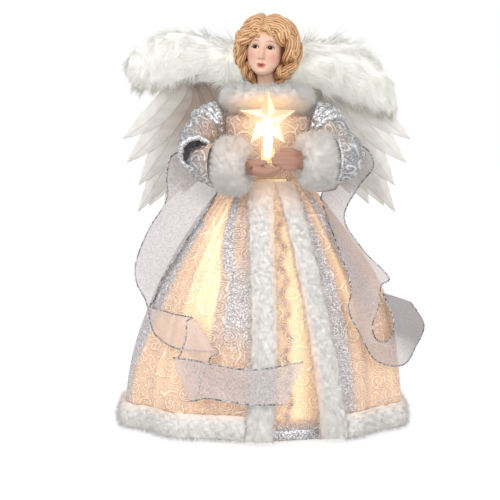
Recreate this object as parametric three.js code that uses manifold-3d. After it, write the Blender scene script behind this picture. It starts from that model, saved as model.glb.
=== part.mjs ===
// Angel tree topper: a lit figure in an open brocade robe on a hollow cone, with feather wings and a star.
// Millimetres and degrees, +Z up. The figure faces -Y, and the origin is at the centre of the cone's mouth.

import * as THREE from "three";
import { mergeVertices } from "three/addons/utils/BufferGeometryUtils.js";
import Module from "manifold-3d";

const wasm = await Module();
wasm.setup();

// Clearances
const seat = 0.3;
const clothSeat = 0.4;

// Card cone that slips over the tree's top shoot
const coneFootRadius = 55;
const coneTopRadius = 16;
const coneHeight = 224;
const coneWall = 1.5;

// Grommet for the supply lead, low at the back of the cone
const grommetHeight = 24;
const grommetRadius = 5;
const grommetBore = 2;
const grommetFlange = 1.6;

// Skirt: half-widths at the waist and the hem, and the folds that deepen towards the hem
const waistRise = 9;
const hemHeight = 1.5;
const waistHalfWidth = 31;
const waistHalfDepth = 27;
const hemHalfWidth = 122;
const hemFrontDepth = 104;
const hemBackDepth = 86;
const hemSway = -4;
const flarePower = 0.85;
const clothThickness = 1.2;
const foldCount = 10;
const underskirtFold = 2;
const robeFold = 4.5;
const robeHemLift = 9;

// Hem hoop and hem braid
const hoopRadius = 1.5;
const hoopHeight = 6;
const braidHeight = 9;
const braidThickness = 1;

// Plush edging of the robe
const furThickness = 14;
const hemFurHeight = 26;
const frontFurTopWidth = 16;
const frontFurHemWidth = 22;
const frontFurDrop = 5;
const hemFurTuck = 3;
const hemFurLap = 1.5;
const frontFurLap = 0.44;
const leftFurTopAngle = -6;
const leftFurHemAngle = -2;
const leftFurBow = 4;
const rightFurTopAngle = 32;
const rightFurHemAngle = 28;

// Moulded torso, by height above the waist
const spigotLength = 12;
const ribRise = 22;
const ribHalfWidth = 34;
const ribHalfDepth = 27;
const chestRise = 42;
const chestHalfWidth = 40;
const chestHalfDepth = 29;
const shoulderRise = 55;
const shoulderHalfWidth = 42;
const shoulderHalfDepth = 26;
const yokeRise = 61;
const yokeHalfWidth = 33;
const yokeHalfDepth = 20;
const neckRise = 65;
const neckHalfWidth = 17;
const neckHalfDepth = 15;

// Head casting
const neckRadius = 10;
const neckLength = 30;
const pegRadius = 7;
const pegLength = 16;
const faceHalfWidth = 16;
const hairHalfWidth = 26;
const hairHalfHeight = 32;
const crownRise = 91;

// Plush collar
const collarHalfWidth = 31;
const collarHalfDepth = 28;
const collarRollWidth = 28;
const collarRollHeight = 26;
const collarLift = 10.5;

// Arms
const armWireRadius = 1.5;
const sleeveWall = 1.4;
const sleeveHeadRadius = 15;
const sleeveElbowRadius = 16;
const sleeveMouthRadius = 18.6;
const sleeveGap = 8;
const wristRadius = 7;
const cuffRadius = 27;
const cuffLength = 24;
const fingerRadius = 2.3;

// Star and its lamp
const starRadius = 27;
const starWaistRadius = 11;
const starDepth = 18;
const starRim = 2.4;
const starForward = 62;
const lampBulbRadius = 4.2;
const lampBulbLength = 25;
const lampStemRadius = 3;
const lampStemLength = 8;
const lampSocketRadius = 6;
const lampSocketHeight = 13;
const lampLeadRadius = 1;

// Lamps on the cone
const stringWireRadius = 1.2;
const stringTurns = 3.5;
const stringLowest = 34;
const stringHighest = 190;
const skirtLampCount = 9;
const skirtSocketRadius = 4;
const skirtSocketLength = 9;
const skirtBulbRadius = 3.2;
const skirtBulbLength = 12;
const skirtStemRadius = 2;
const skirtStemLength = 5;

// Organza stole
const stoleThickness = 0.8;

// Wings, by distance out from the hinge, height above the shoulder and distance behind the hinge
const wingHalfSpacing = 18;
const wingSweep = 10;
const wingWireRadius = 1.2;
const bracketRadius = 3.6;
const bracketHeight = 24;
const bracketDrop = 26;
const wingLegReach = 8;
const wingCardThickness = 1.2;
const featherThickness = 0.8;
const featherGap = 0.3;
const downDepth = 20;
const downBackDepth = 14;
const downRoot = 20;
const downRise = 48;
const downHalfHeight = 31;

// Heights that follow from the sizes above
const waistHeight = coneHeight + waistRise;
const shoulderHeight = waistHeight + shoulderRise;
const neckHeight = waistHeight + neckRise;
const robeWaistLift = clothThickness + clothSeat;

// Materials
const finish = (color, roughness, metalness = 0) =>
  new THREE.MeshStandardMaterial({ color, roughness, metalness });
const card = finish(0xd9d2c4, 0.9);
const plastic = finish(0xe9e4da, 0.6);
const resin = finish(0xf0cdb4, 0.5);
const steel = finish(0xb9bcc0, 0.35, 1);
const brocade = finish(0xf6d9ac, 0.6);
const silverBrocade = finish(0xbdbcc0, 0.45);
const braid = finish(0xc9c8c6, 0.4);
const plush = finish(0xe6e8e4, 0.95);
const organza = finish(0xc9c0c4, 0.5);
const feather = finish(0xecebe2, 0.8);
const down = finish(0xf2f2ee, 0.95);
const acrylic = finish(0xfff4d2, 0.15);
const bulbGlass = finish(0xffe9b0, 0.1);
const cable = finish(0xe8e6de, 0.5);

const topper = new THREE.Group();

// Adds one named piece to the topper.
function add(name, geometry, material) {
  const mesh = new THREE.Mesh(geometry, material);
  mesh.name = name;
  topper.add(mesh);
}

const at = (x, y, z) => new THREE.Vector3(x, y, z);
const radians = THREE.MathUtils.degToRad;
const mix = THREE.MathUtils.lerp;

// Turns a geometry's faces round if they point inwards.
function facingOut(geometry) {
  const place = geometry.getAttribute("position");
  const index = geometry.getIndex().array;
  const corner = (k) => at(place.getX(k), place.getY(k), place.getZ(k));
  let volume = 0;
  for (let k = 0; k < index.length; k += 3) {
    volume += corner(index[k]).dot(corner(index[k + 1]).cross(corner(index[k + 2])));
  }
  if (volume < 0) {
    geometry.setIndex(Array.from(index).reverse());
  }
  return geometry;
}

// A closed solid from rings with the same even number of points. Its ends are closed straight across,
// or joined to each other when it loops round.
function loft(rings, loops = false) {
  const count = rings[0].length;
  const faces = [];
  const quad = (a, b, c, d) => faces.push(a, b, c, a, c, d);
  const spans = loops ? rings.length : rings.length - 1;
  for (let i = 0; i < spans; i++) {
    const here = i * count;
    const next = ((i + 1) % rings.length) * count;
    for (let j = 0; j < count; j++) {
      const beside = (j + 1) % count;
      quad(here + j, here + beside, next + beside, next + j);
    }
  }
  const end = (rings.length - 1) * count;
  for (let j = 0; !loops && j < count / 2 - 1; j++) {
    quad(j, count - 1 - j, count - 2 - j, j + 1);
    quad(end + j, end + j + 1, end + count - 2 - j, end + count - 1 - j);
  }
  const numbers = rings.flat().flatMap((point) => point.toArray());
  const geometry = new THREE.BufferGeometry();
  geometry.setAttribute("position", new THREE.Float32BufferAttribute(numbers, 3));
  geometry.setIndex(faces);
  return facingOut(geometry);
}

// Steps from 0 to 1, both ends included.
const steps = (count) => Array.from({ length: count + 1 }, (_, i) => i / count);

// Angles of a full turn, in radians, the last one left out.
const turn = (count) => Array.from({ length: count }, (_, i) => (i / count) * 2 * Math.PI);

// A smooth path through chosen points, with a radius that changes evenly between the radii given there.
function smoothPath(points, radii, count) {
  const curve = new THREE.CatmullRomCurve3(points);
  const radiusAt = (t) => {
    const place = Math.min(t * (points.length - 1), points.length - 1.000001);
    const k = Math.floor(place);
    return mix(radii[k], radii[k + 1], place - k);
  };
  return steps(count).map((t) => ({ centre: curve.getPoint(t), radius: radiusAt(t) }));
}

// Gives each stop on a path two directions square to it, carried along without twist.
function framed(path) {
  const last = path.length - 1;
  let across = null;
  return path.map((stop, i) => {
    const along = path[Math.min(i + 1, last)].centre.clone().sub(path[Math.max(i - 1, 0)].centre).normalize();
    const guide = across ?? (Math.abs(along.z) > 0.9 ? at(1, 0, 0) : at(0, 0, 1));
    across = guide.clone().addScaledVector(along, -guide.dot(along)).normalize();
    return { ...stop, across, up: along.clone().cross(across) };
  });
}

// The ring of a framed stop, at its radius less an inset.
const ringAt = (stop, sides, inset = 0) =>
  turn(sides).map((a) =>
    stop.centre
      .clone()
      .addScaledVector(stop.across, (stop.radius - inset) * Math.cos(a))
      .addScaledVector(stop.up, (stop.radius - inset) * Math.sin(a)));

// A solid round bar along a path.
const bar = (path, sides) => loft(framed(path).map((stop) => ringAt(stop, sides)));

// A straight turned piece: pairs of distance along the axis and radius.
function turned(start, direction, profile, sides) {
  const stop = ([reach, radius]) => ({ centre: start.clone().addScaledVector(direction, reach), radius });
  return bar(profile.map(stop), sides);
}

// A hollow sleeve along a path, whose rings turn evenly from sideways to the way its mouth faces.
function sleeve(path, side, mouthWay, wall, sides) {
  const reaches = [0];
  path.slice(1).forEach((stop, i) => reaches.push(reaches[i] + stop.centre.distanceTo(path[i].centre)));
  const wholeTurn = Math.atan2(-mouthWay.y, side * mouthWay.x);
  const stops = path.map((stop, i) => {
    const share = reaches[i] / reaches.at(-1);
    const angle = wholeTurn * share;
    const across = at(Math.sin(angle), side * Math.cos(angle), 0);
    const along = at(side * Math.cos(angle), -Math.sin(angle), mouthWay.z * share);
    return { ...stop, across, up: along.normalize().cross(across) };
  });
  const outside = stops.map((stop) => ringAt(stop, sides));
  const inside = stops.map((stop) => ringAt(stop, sides, wall)).reverse();
  return loft(turn(sides).map((_, j) => [...outside, ...inside].map((ring) => ring[j])), true);
}

// An upright shell: place(angle, height, out) gives its outer face at out = 0 and its inner at -thickness.
function shell(place, angles, heights, thickness, loops) {
  const profile = (angle) => [
    ...heights(angle).map((height) => place(angle, height, 0)),
    ...heights(angle).reverse().map((height) => place(angle, height, -thickness)),
  ];
  return loft(angles.map(profile), loops);
}

// Solids for joining and cutting.
function solid(geometry) {
  const bare = geometry.clone();
  bare.deleteAttribute("normal");
  bare.deleteAttribute("uv");
  const merged = mergeVertices(bare, 1e-4);
  return new wasm.Manifold(new wasm.Mesh({
    numProp: 3,
    vertProperties: new Float32Array(merged.getAttribute("position").array),
    triVerts: new Uint32Array(merged.getIndex().array),
  }));
}

function geometryOf(body) {
  const mesh = body.getMesh();
  const geometry = new THREE.BufferGeometry();
  geometry.setAttribute("position", new THREE.Float32BufferAttribute(mesh.vertProperties, 3));
  geometry.setIndex(Array.from(mesh.triVerts));
  return geometry;
}

const joined = (geometries) => geometries.map(solid).reduce((whole, body) => whole.add(body));

// A ball with its own half-sizes.
const ball = (centre, halves, around, levels) =>
  new THREE.SphereGeometry(1, around, levels).scale(halves.x, halves.y, halves.z).translate(...centre);

// A level ellipse of points.
const oval = (halfWidth, halfDepth, height, sides) =>
  turn(sides).map((a) => at(halfWidth * Math.sin(a), -halfDepth * Math.cos(a), height));

// Tree cone, with a hole for the lead grommet in its back
const coneRadius = (height) => mix(coneFootRadius, coneTopRadius, height / coneHeight);
const coneSides = 32;
const coneBody = shell(
  (angle, height, out) => {
    const radius = coneRadius(height) + out;
    return at(radius * Math.sin(angle), -radius * Math.cos(angle), height);
  },
  turn(coneSides), () => [0, coneHeight], coneWall, true);
const grommetFace = coneRadius(grommetHeight);
const backwards = at(0, 1, 0);
const grommetHole = turned(
  at(0, grommetFace - grommetRadius, grommetHeight), backwards,
  [[0, grommetRadius + seat], [2 * grommetRadius, grommetRadius + seat]], 16);
add("tree_cone", geometryOf(solid(coneBody).subtract(solid(grommetHole))), card);

const flangeRadius = grommetRadius + 2;
const grommetBody = turned(
  at(0, grommetFace - 2 * coneWall, grommetHeight), backwards,
  [[0, grommetRadius], [2 * coneWall + 1, grommetRadius], [2 * coneWall + 1 + seat, flangeRadius],
    [2 * coneWall + 1 + seat + grommetFlange, flangeRadius]], 16);
const grommetThrough = turned(
  at(0, grommetFace - 4 * coneWall, grommetHeight), backwards,
  [[0, grommetBore], [10 * coneWall, grommetBore]], 16);
add("lead_grommet", geometryOf(solid(grommetBody).subtract(solid(grommetThrough))), cable);

// Skirt layers: a quarter sine from the waist to the hem, with upright folds
const underskirtLayer = { waistLift: 0, hemLift: 0, fold: underskirtFold };
const robeLayer = { waistLift: robeWaistLift, hemLift: robeHemLift, fold: robeFold };

const dropAt = (height) => THREE.MathUtils.clamp((waistHeight - height) / (waistHeight - hemHeight), 0, 1);
const flareAt = (height) => Math.sin(dropAt(height) ** flarePower * Math.PI / 2);
const skirtHalfWidth = (height) => mix(waistHalfWidth, hemHalfWidth, flareAt(height));

function skirtPoint(layer, angle, height, out) {
  const flare = flareAt(height);
  const fold = layer.fold * dropAt(height) * Math.cos(foldCount * angle);
  const lift = mix(layer.waistLift, layer.hemLift, flare) + fold + out;
  const hemDepth = Math.cos(angle) > 0 ? hemFrontDepth : hemBackDepth;
  const depth = mix(waistHalfDepth, hemDepth, flare) + lift;
  const sideways = (skirtHalfWidth(height) + lift) * Math.sin(angle) + hemSway * flare;
  return at(sideways, -depth * Math.cos(angle), height);
}

const onUnderskirt = (angle, height, out) => skirtPoint(underskirtLayer, angle, height, out);
const onRobe = (angle, height, out) => skirtPoint(robeLayer, angle, height, out);
const levels = (low, high, count) => steps(count).map((t) => mix(low, high, t));

const underskirtSides = 4 * foldCount;
add("underskirt",
  shell(onUnderskirt, turn(underskirtSides), () => levels(hemHeight, waistHeight, 6), clothThickness, true),
  brocade);
add("underskirt_hem_trim",
  shell((angle, height, out) => onUnderskirt(angle, height, out + seat + braidThickness),
    turn(underskirtSides), () => [hemHeight, hemHeight + braidHeight], braidThickness, true),
  braid);
const hoopOut = -clothThickness - 2 * seat - hoopRadius;
add("hem_hoop",
  loft(turn(underskirtSides).map((angle) => turn(4).map((a) =>
    onUnderskirt(angle, hoopHeight + hoopRadius * Math.sin(a), hoopOut + hoopRadius * Math.cos(a)))), true),
  steel);

// Plush down the robe's front edges and round its hem
const furHeight = { low: hemHeight, high: waistHeight - frontFurDrop };
const furShare = (height) => (height - furHeight.low) / (furHeight.high - furHeight.low);
const furHalfWidth = (height) => mix(frontFurHemWidth, frontFurTopWidth, furShare(height)) / 2;
const furHalfAngle = (height) => furHalfWidth(height) / skirtHalfWidth(height);
const leftFurBend = (height) => leftFurBow * Math.sin(Math.PI * furShare(height));
const leftFurAngle = (height) =>
  radians(mix(leftFurHemAngle, leftFurTopAngle, furShare(height)) + leftFurBend(height));
const rightFurAngle = (height) => radians(mix(rightFurHemAngle, rightFurTopAngle, furShare(height)));
const furOut = furThickness / 2 - clothThickness;

function frontFur(angleAt) {
  const ring = (height) => turn(10).map((a) => {
    const angle = angleAt(height) + furHalfAngle(height) * Math.cos(a);
    return onRobe(angle, height, furOut + furThickness / 2 * Math.sin(a));
  });
  return loft(levels(furHeight.low, furHeight.high, 14).map(ring));
}

add("robe_front_fur_left", frontFur(leftFurAngle), plush);
add("robe_front_fur_right", frontFur(rightFurAngle), plush);

// The hem fur runs from beside the right front fur round the back to beside the left one.
const wayRound = (share, height, inset) =>
  mix(rightFurAngle(height) + inset, 2 * Math.PI + leftFurAngle(height) - inset, share);
const besideFur = (height) => furHalfAngle(height) + clothSeat / skirtHalfWidth(height);
const robeColumns = 56;
const hemFurMiddle = hemHeight + hemFurHeight / 2;
add("robe_hem_fur",
  loft(steps(robeColumns).map((share) => turn(8).map((a) => {
    const height = hemFurMiddle + hemFurHeight / 2 * Math.cos(a);
    const out = furOut - hemFurTuck + furThickness / 2 * Math.sin(a);
    return onRobe(wayRound(share, height, besideFur(height)), height, out);
  }))), plush);

// The robe's front edges and its hem run in under the fur, and its top meets the underskirt at the waist.
const underFur = (height) => (1 - frontFurLap) * furHalfAngle(height);
const robeHem = hemHeight + hemFurHeight - hemFurLap;
add("robe",
  shell((share, height, out) => onRobe(wayRound(share, height, underFur(height)), height, out),
    steps(robeColumns), () => levels(robeHem, waistHeight, 6), clothThickness, false),
  brocade);

// Torso: oval sections stacked on a spigot in the cone's top, with a neck socket and two arm sockets
const torsoWaistHalfWidth = waistHalfWidth - clothThickness - clothSeat;
const torsoWaistHalfDepth = waistHalfDepth - clothThickness - clothSeat;
const bodiceRise = 1;
const torsoSections = [
  { rise: 0, halfWidth: torsoWaistHalfWidth, halfDepth: torsoWaistHalfDepth },
  { rise: bodiceRise, halfWidth: torsoWaistHalfWidth, halfDepth: torsoWaistHalfDepth },
  { rise: ribRise, halfWidth: ribHalfWidth, halfDepth: ribHalfDepth },
  { rise: chestRise, halfWidth: chestHalfWidth, halfDepth: chestHalfDepth },
  { rise: shoulderRise, halfWidth: shoulderHalfWidth, halfDepth: shoulderHalfDepth },
  { rise: yokeRise, halfWidth: yokeHalfWidth, halfDepth: yokeHalfDepth },
  { rise: neckRise, halfWidth: neckHalfWidth, halfDepth: neckHalfDepth },
];
const torsoSides = 24;
const spigotRadius = coneTopRadius - coneWall - seat;
const torsoFoot = coneHeight + seat;
const torsoRing = ({ rise, halfWidth, halfDepth }) =>
  oval(halfWidth, halfDepth, waistHeight + rise, torsoSides);
const torsoBody = loft([
  oval(spigotRadius - 1, spigotRadius - 1, coneHeight - spigotLength, torsoSides),
  oval(spigotRadius, spigotRadius, torsoFoot, torsoSides),
  oval(torsoWaistHalfWidth - 2, torsoWaistHalfDepth - 2, torsoFoot + seat, torsoSides),
  ...torsoSections.map(torsoRing),
]);
const upwards = at(0, 0, 1);
const neckSocket = turned(
  at(0, 0, neckHeight - pegLength - seat), upwards,
  [[0, pegRadius + seat], [2 * pegLength, pegRadius + seat]], 14);
const armSocketDepth = 12;
const armSocket = (side) => turned(
  at(side * (shoulderHalfWidth - armSocketDepth), 0, shoulderHeight), at(side, 0, 0),
  [[0, armWireRadius + seat], [3 * armSocketDepth, armWireRadius + seat]], 12);
const armSockets = joined([armSocket(1), armSocket(-1)]);
add("torso", geometryOf(solid(torsoBody).subtract(solid(neckSocket)).subtract(armSockets)), plastic);

// Bodice: brocade over the torso, with a hole for each arm wire and one for the star's lead
const bodiceSeat = 2 * seat;
const bodiceOut = clothThickness + bodiceSeat;
const leadRise = 20;
const bodiceSections = torsoSections.slice(1, -1);
const bodiceRing = (section, out) =>
  oval(section.halfWidth + out, section.halfDepth + out, waistHeight + section.rise, torsoSides);
const bodiceOutside = bodiceSections.map((section) => bodiceRing(section, bodiceOut));
const bodiceInside = bodiceSections.map((section) => bodiceRing(section, bodiceSeat)).reverse();
const bodiceBody = loft(
  turn(torsoSides).map((_, j) => [...bodiceOutside, ...bodiceInside].map((ring) => ring[j])), true);
const forwards = at(0, -1, 0);
const leadHole = turned(
  at(0, -ribHalfDepth + 2, waistHeight + leadRise), forwards,
  [[0, lampLeadRadius + seat], [8, lampLeadRadius + seat]], 10);
add("bodice", geometryOf(solid(bodiceBody).subtract(armSockets).subtract(solid(leadHole))), silverBrocade);

// Head: neck and peg, face, hair cap hollowed for the face, and curls
const neckBottom = neckHeight + seat;
const crownHeight = neckHeight + crownRise;
const hairMiddle = crownHeight - hairHalfHeight;
const faceMiddle = hairMiddle - 8;
const peg = turned(
  at(0, 0, neckBottom - pegLength), upwards,
  [[0, pegRadius - 1], [1, pegRadius], [pegLength, pegRadius], [pegLength, neckRadius],
    [pegLength + neckLength, neckRadius - 1]], 14);
const faceForward = 9;
const face = ball(at(0, -faceForward, faceMiddle), at(faceHalfWidth, 21, 24), 12, 9);
const chin = ball(at(0, -faceForward - 10, faceMiddle - 17), at(8, 8, 7), 8, 6);
const nose = ball(at(0, -faceForward - 20, faceMiddle - 4), at(2.6, 4, 5), 6, 4);
const hairCap = ball(at(0, 4, hairMiddle), at(hairHalfWidth, 26, hairHalfHeight), 14, 10);
const faceWindow = ball(at(0, -30, faceMiddle - 3), at(faceHalfWidth + 2, 22, 28), 10, 8);
const curlPlaces = [
  [21, -12, 8, 8], [24.5, -7, -4, 9], [24.5, -5, -18, 9],
  [19, -3, -29, 7.5], [24, 8, -11, 10], [20, 14, -24, 9],
];
const curls = [1, -1].flatMap((side) => curlPlaces.map(([x, y, z, radius]) =>
  ball(at(side * x, y, hairMiddle + z), at(radius, radius, radius), 6, 4)));
const backCurl = ball(at(0, 22, hairMiddle - 18), at(18, 13, 15), 10, 6);
const hair = solid(hairCap).subtract(solid(faceWindow)).add(joined([...curls, backCurl]));
add("head", geometryOf(joined([peg, face, chin, nose]).add(hair)), resin);

// Collar: a plush roll round the neck, resting on the bodice's shoulders
add("collar",
  loft(turn(24).map((angle) => turn(8).map((a) => {
    const out = collarRollWidth / 2 * Math.cos(a);
    const height = neckHeight + collarLift + collarRollHeight / 2 * Math.sin(a);
    return at((collarHalfWidth + out) * Math.sin(angle), -(collarHalfDepth + out) * Math.cos(angle), height);
  })), true), plush);

// Arms: each has its side, two elbow points, the middle of the sleeve's mouth and the way its cuff points
const arms = [
  {
    name: "left", side: -1,
    bend: [at(-60, -9, -12), at(-67, -24, -28), at(-66, -38, -38)],
    mouth: at(-47, -50, -41), cuffWay: at(25, -8, -1).normalize(),
  },
  {
    name: "right", side: 1,
    bend: [at(60, -9, -12), at(69, -23, -25), at(72, -37, -33)],
    mouth: at(59, -52, -36), cuffWay: at(-24, -8, -1).normalize(),
  },
];
const fromShoulder = (point) => point.clone().add(at(0, 0, shoulderHeight));
const mouthStraight = 12;
const wireInHand = 10;

// The middle line of an arm from outside the bodice to its sleeve's mouth.
function armLine(arm) {
  const head = [3 * clothSeat, sleeveGap].map((reach) =>
    at(arm.side * (shoulderHalfWidth + bodiceOut + reach), 0, shoulderHeight - 1));
  const mouth = fromShoulder(arm.mouth);
  const beforeMouth = [mouthStraight, mouthStraight / 2].map((reach) =>
    mouth.clone().addScaledVector(arm.cuffWay, -reach));
  return [...head, ...arm.bend.map(fromShoulder), ...beforeMouth, mouth];
}

for (const arm of arms) {
  const line = armLine(arm);
  const mouth = line.at(-1);
  const along = (reach) => mouth.clone().addScaledVector(arm.cuffWay, reach);

  const wireStart = at(arm.side * (shoulderHalfWidth - armSocketDepth + 1), 0, shoulderHeight);
  const wireOut = [0, sleeveGap / 2, sleeveGap].map((reach) =>
    at(arm.side * (shoulderHalfWidth + bodiceOut + reach), 0, shoulderHeight));
  const wireLine = [wireStart, ...wireOut, ...line.slice(3), along(wireInHand)];
  add(`${arm.name}_arm_wire`,
    bar(smoothPath(wireLine, wireLine.map(() => armWireRadius), 20), 6), steel);

  const belled = (share) => mix(sleeveElbowRadius, sleeveMouthRadius, share);
  const sleeveRadii = [sleeveHeadRadius, sleeveHeadRadius, ...[0, 0, 0, 0.5, 0.8, 1].map(belled)];
  const sleeveLine = smoothPath(line, sleeveRadii, 20);
  add(`${arm.name}_sleeve`, sleeve(sleeveLine, arm.side, arm.cuffWay, sleeveWall, 12), silverBrocade);

  const cuffMiddle = along(clothSeat + cuffLength / 2);
  const cuffBore = wristRadius + clothSeat;
  const cuffOut = (cuffRadius - cuffBore) / 2;
  const cuffStop = framed([along(0), along(cuffLength)].map((centre) => ({ centre, radius: 1 })))[0];
  add(`${arm.name}_cuff`,
    loft(turn(16).map((angle) => turn(8).map((a) => cuffMiddle.clone()
      .addScaledVector(arm.cuffWay, cuffLength / 2 * Math.sin(a))
      .addScaledVector(cuffStop.across, (cuffBore + cuffOut + cuffOut * Math.cos(a)) * Math.cos(angle))
      .addScaledVector(cuffStop.up, (cuffBore + cuffOut + cuffOut * Math.cos(a)) * Math.sin(angle)))), true),
    plush);
}

// Hands: a wrist through the cuff, a palm, four fingers and a thumb; the left lies under, the right beside
const hands = [
  {
    arm: arms[0],
    palm: [[34, -1, -3.5, 7.5], [46, 0, -6, 5.5]],
    fingers: [-6, -2, 2, 6].map((aside) => [[45, aside, -6.5], [60 - Math.abs(aside) / 2, aside, -5.5]]),
    thumb: [[34, 6, -3], [43, 9, 1]],
  },
  {
    arm: arms[1],
    palm: [[34, -1, 1, 6.5], [44, -1, 1.5, 5]],
    fingers: [-4, -0.7, 2.7, 6].map((rise) => [[43, -1, rise], [51.5 - Math.abs(rise - 1) / 3, -1.5, rise]]),
    thumb: [[36, 3, 5], [45, 5.5, 8]],
  },
];
const wristEnd = 27;
for (const { arm, palm, fingers, thumb } of hands) {
  const mouth = fromShoulder(arm.mouth);
  const aside = arm.cuffWay.clone().cross(upwards).normalize().multiplyScalar(-arm.side);
  const place = ([reach, sideways, rise]) => mouth.clone()
    .addScaledVector(arm.cuffWay, reach).addScaledVector(aside, sideways).add(at(0, 0, rise));
  const stop = (entry, radius) => ({ centre: place(entry), radius });
  const wrist = bar([
    stop([1, 0, 0], wristRadius), stop([wristEnd, 0, 0], wristRadius),
    ...palm.map((entry) => stop(entry, entry[3])),
  ], 10);
  const digit = ([root, tip], radius) => bar([
    stop(root, radius), stop(tip, radius), stop([tip[0] + radius * 0.7, tip[1], tip[2]], radius * 0.6),
  ], 6);
  const digits = [...fingers, thumb].map((entry) => digit(entry, fingerRadius));
  const hand = joined([wrist, ...digits]);
  const wireBore = turned(
    mouth.clone().addScaledVector(arm.cuffWay, -1), arm.cuffWay,
    [[0, armWireRadius + seat], [wireInHand + 1 + seat, armWireRadius + seat]], 10);
  add(`${arm.name}_hand`, geometryOf(hand.subtract(solid(wireBore))), resin);
}

// Star lamp: its holder stands on the left palm, and the star slips over the bulb from above
const palmTop = shoulderHeight + arms[0].mouth.z + 2.6;
const lampPlace = (height) => at(0, -starForward, height);
const lampSocket = turned(
  lampPlace(palmTop), upwards, [[0, lampSocketRadius], [lampSocketHeight, lampSocketRadius]], 16);
const lampStemHole = turned(
  lampPlace(palmTop + lampSocketHeight - lampStemLength - seat), upwards,
  [[0, lampStemRadius + seat], [2 * lampStemLength, lampStemRadius + seat]], 16);
add("star_socket", geometryOf(solid(lampSocket).subtract(solid(lampStemHole))), cable);

const bulbBase = palmTop + lampSocketHeight + seat;
add("star_bulb", turned(
  lampPlace(bulbBase - lampStemLength), upwards,
  [[0, lampStemRadius], [lampStemLength, lampStemRadius], [lampStemLength + 1, lampBulbRadius],
    [lampStemLength + 0.6 * lampBulbLength, lampBulbRadius],
    [lampStemLength + 0.9 * lampBulbLength, 0.6 * lampBulbRadius],
    [lampStemLength + lampBulbLength, 0.15 * lampBulbRadius]], 12), bulbGlass);

const starMiddle = bulbBase + lampBulbLength + 1;
const starRing = (depth, share) => turn(10).map((a, k) => {
  const radius = (k % 2 === 0 ? starRadius : starWaistRadius) * share;
  return at(radius * Math.sin(a), -starForward + depth, starMiddle + radius * Math.cos(a));
});
const starTip = 0.08;
const starBody = loft([
  starRing(-starDepth / 2, starTip), starRing(-starRim / 2, 1),
  starRing(starRim / 2, 1), starRing(starDepth / 2, starTip),
]);
const starBore = turned(
  lampPlace(starMiddle - 2 * starRadius), upwards,
  [[0, lampBulbRadius + seat], [2 * starRadius - 1 + seat, lampBulbRadius + seat]], 12);
add("star", geometryOf(solid(starBody).subtract(solid(starBore))), acrylic);

const leadHeight = waistHeight + leadRise;
const lampBack = -starForward + lampSocketRadius;
const leadLine = [lampBack + seat, lampBack + 8, -ribHalfDepth - bodiceOut - 8, -ribHalfDepth - seat]
  .map((y) => at(0, y, leadHeight));
add("star_lead", bar(smoothPath(leadLine, leadLine.map(() => lampLeadRadius), 10), 8), cable);

// Lamps on the cone: one wire winds up the cone and carries the lampholders
const coneSlant = Math.atan((coneFootRadius - coneTopRadius) / coneHeight);
const stringOut = stringWireRadius / Math.cos(coneSlant) + clothSeat;
const stringTurnSteps = 18;
const stringSteps = stringTurnSteps * stringTurns;
const stringPoint = (share) => {
  const height = mix(stringLowest, stringHighest, share);
  const angle = share * stringTurns * 2 * Math.PI + Math.PI;
  const radius = (coneRadius(height) + stringOut) / Math.cos(Math.PI / stringTurnSteps);
  return at(radius * Math.sin(angle), -radius * Math.cos(angle), height);
};
const stringWire = bar(
  steps(stringSteps).map((share) => ({ centre: stringPoint(share), radius: stringWireRadius })), 4);
const lampShares = Array.from({ length: skirtLampCount }, (_, i) => (i + 0.5) / skirtLampCount);
const lampsOnString = lampShares.map((share) => {
  const base = stringPoint(share);
  return { base, way: at(base.x, base.y, 0).normalize() };
});
const holderProfile = [
  [0, skirtSocketRadius / 2], [2, skirtSocketRadius], [skirtSocketLength, skirtSocketRadius],
];
const holders = lampsOnString.map(({ base, way }) => turned(base, way, holderProfile, 6));
const stemHoles = lampsOnString.map(({ base, way }) =>
  turned(base.clone().addScaledVector(way, skirtSocketLength - skirtStemLength - seat), way,
    [[0, skirtStemRadius + 2 * seat], [2 * skirtStemLength, skirtStemRadius + 2 * seat]], 6));
add("light_string", geometryOf(joined([stringWire, ...holders]).subtract(joined(stemHoles))), cable);
lampsOnString.forEach(({ base, way }, i) => {
  const start = base.clone().addScaledVector(way, skirtSocketLength + seat - skirtStemLength);
  add(`skirt_bulb_${i + 1}`, turned(start, way, [
    [0, skirtStemRadius], [skirtStemLength, skirtStemRadius], [skirtStemLength + 1, skirtBulbRadius],
    [skirtStemLength + 0.6 * skirtBulbLength, skirtBulbRadius],
    [skirtStemLength + skirtBulbLength, 0.2 * skirtBulbRadius]], 8), bulbGlass);
});

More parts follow.
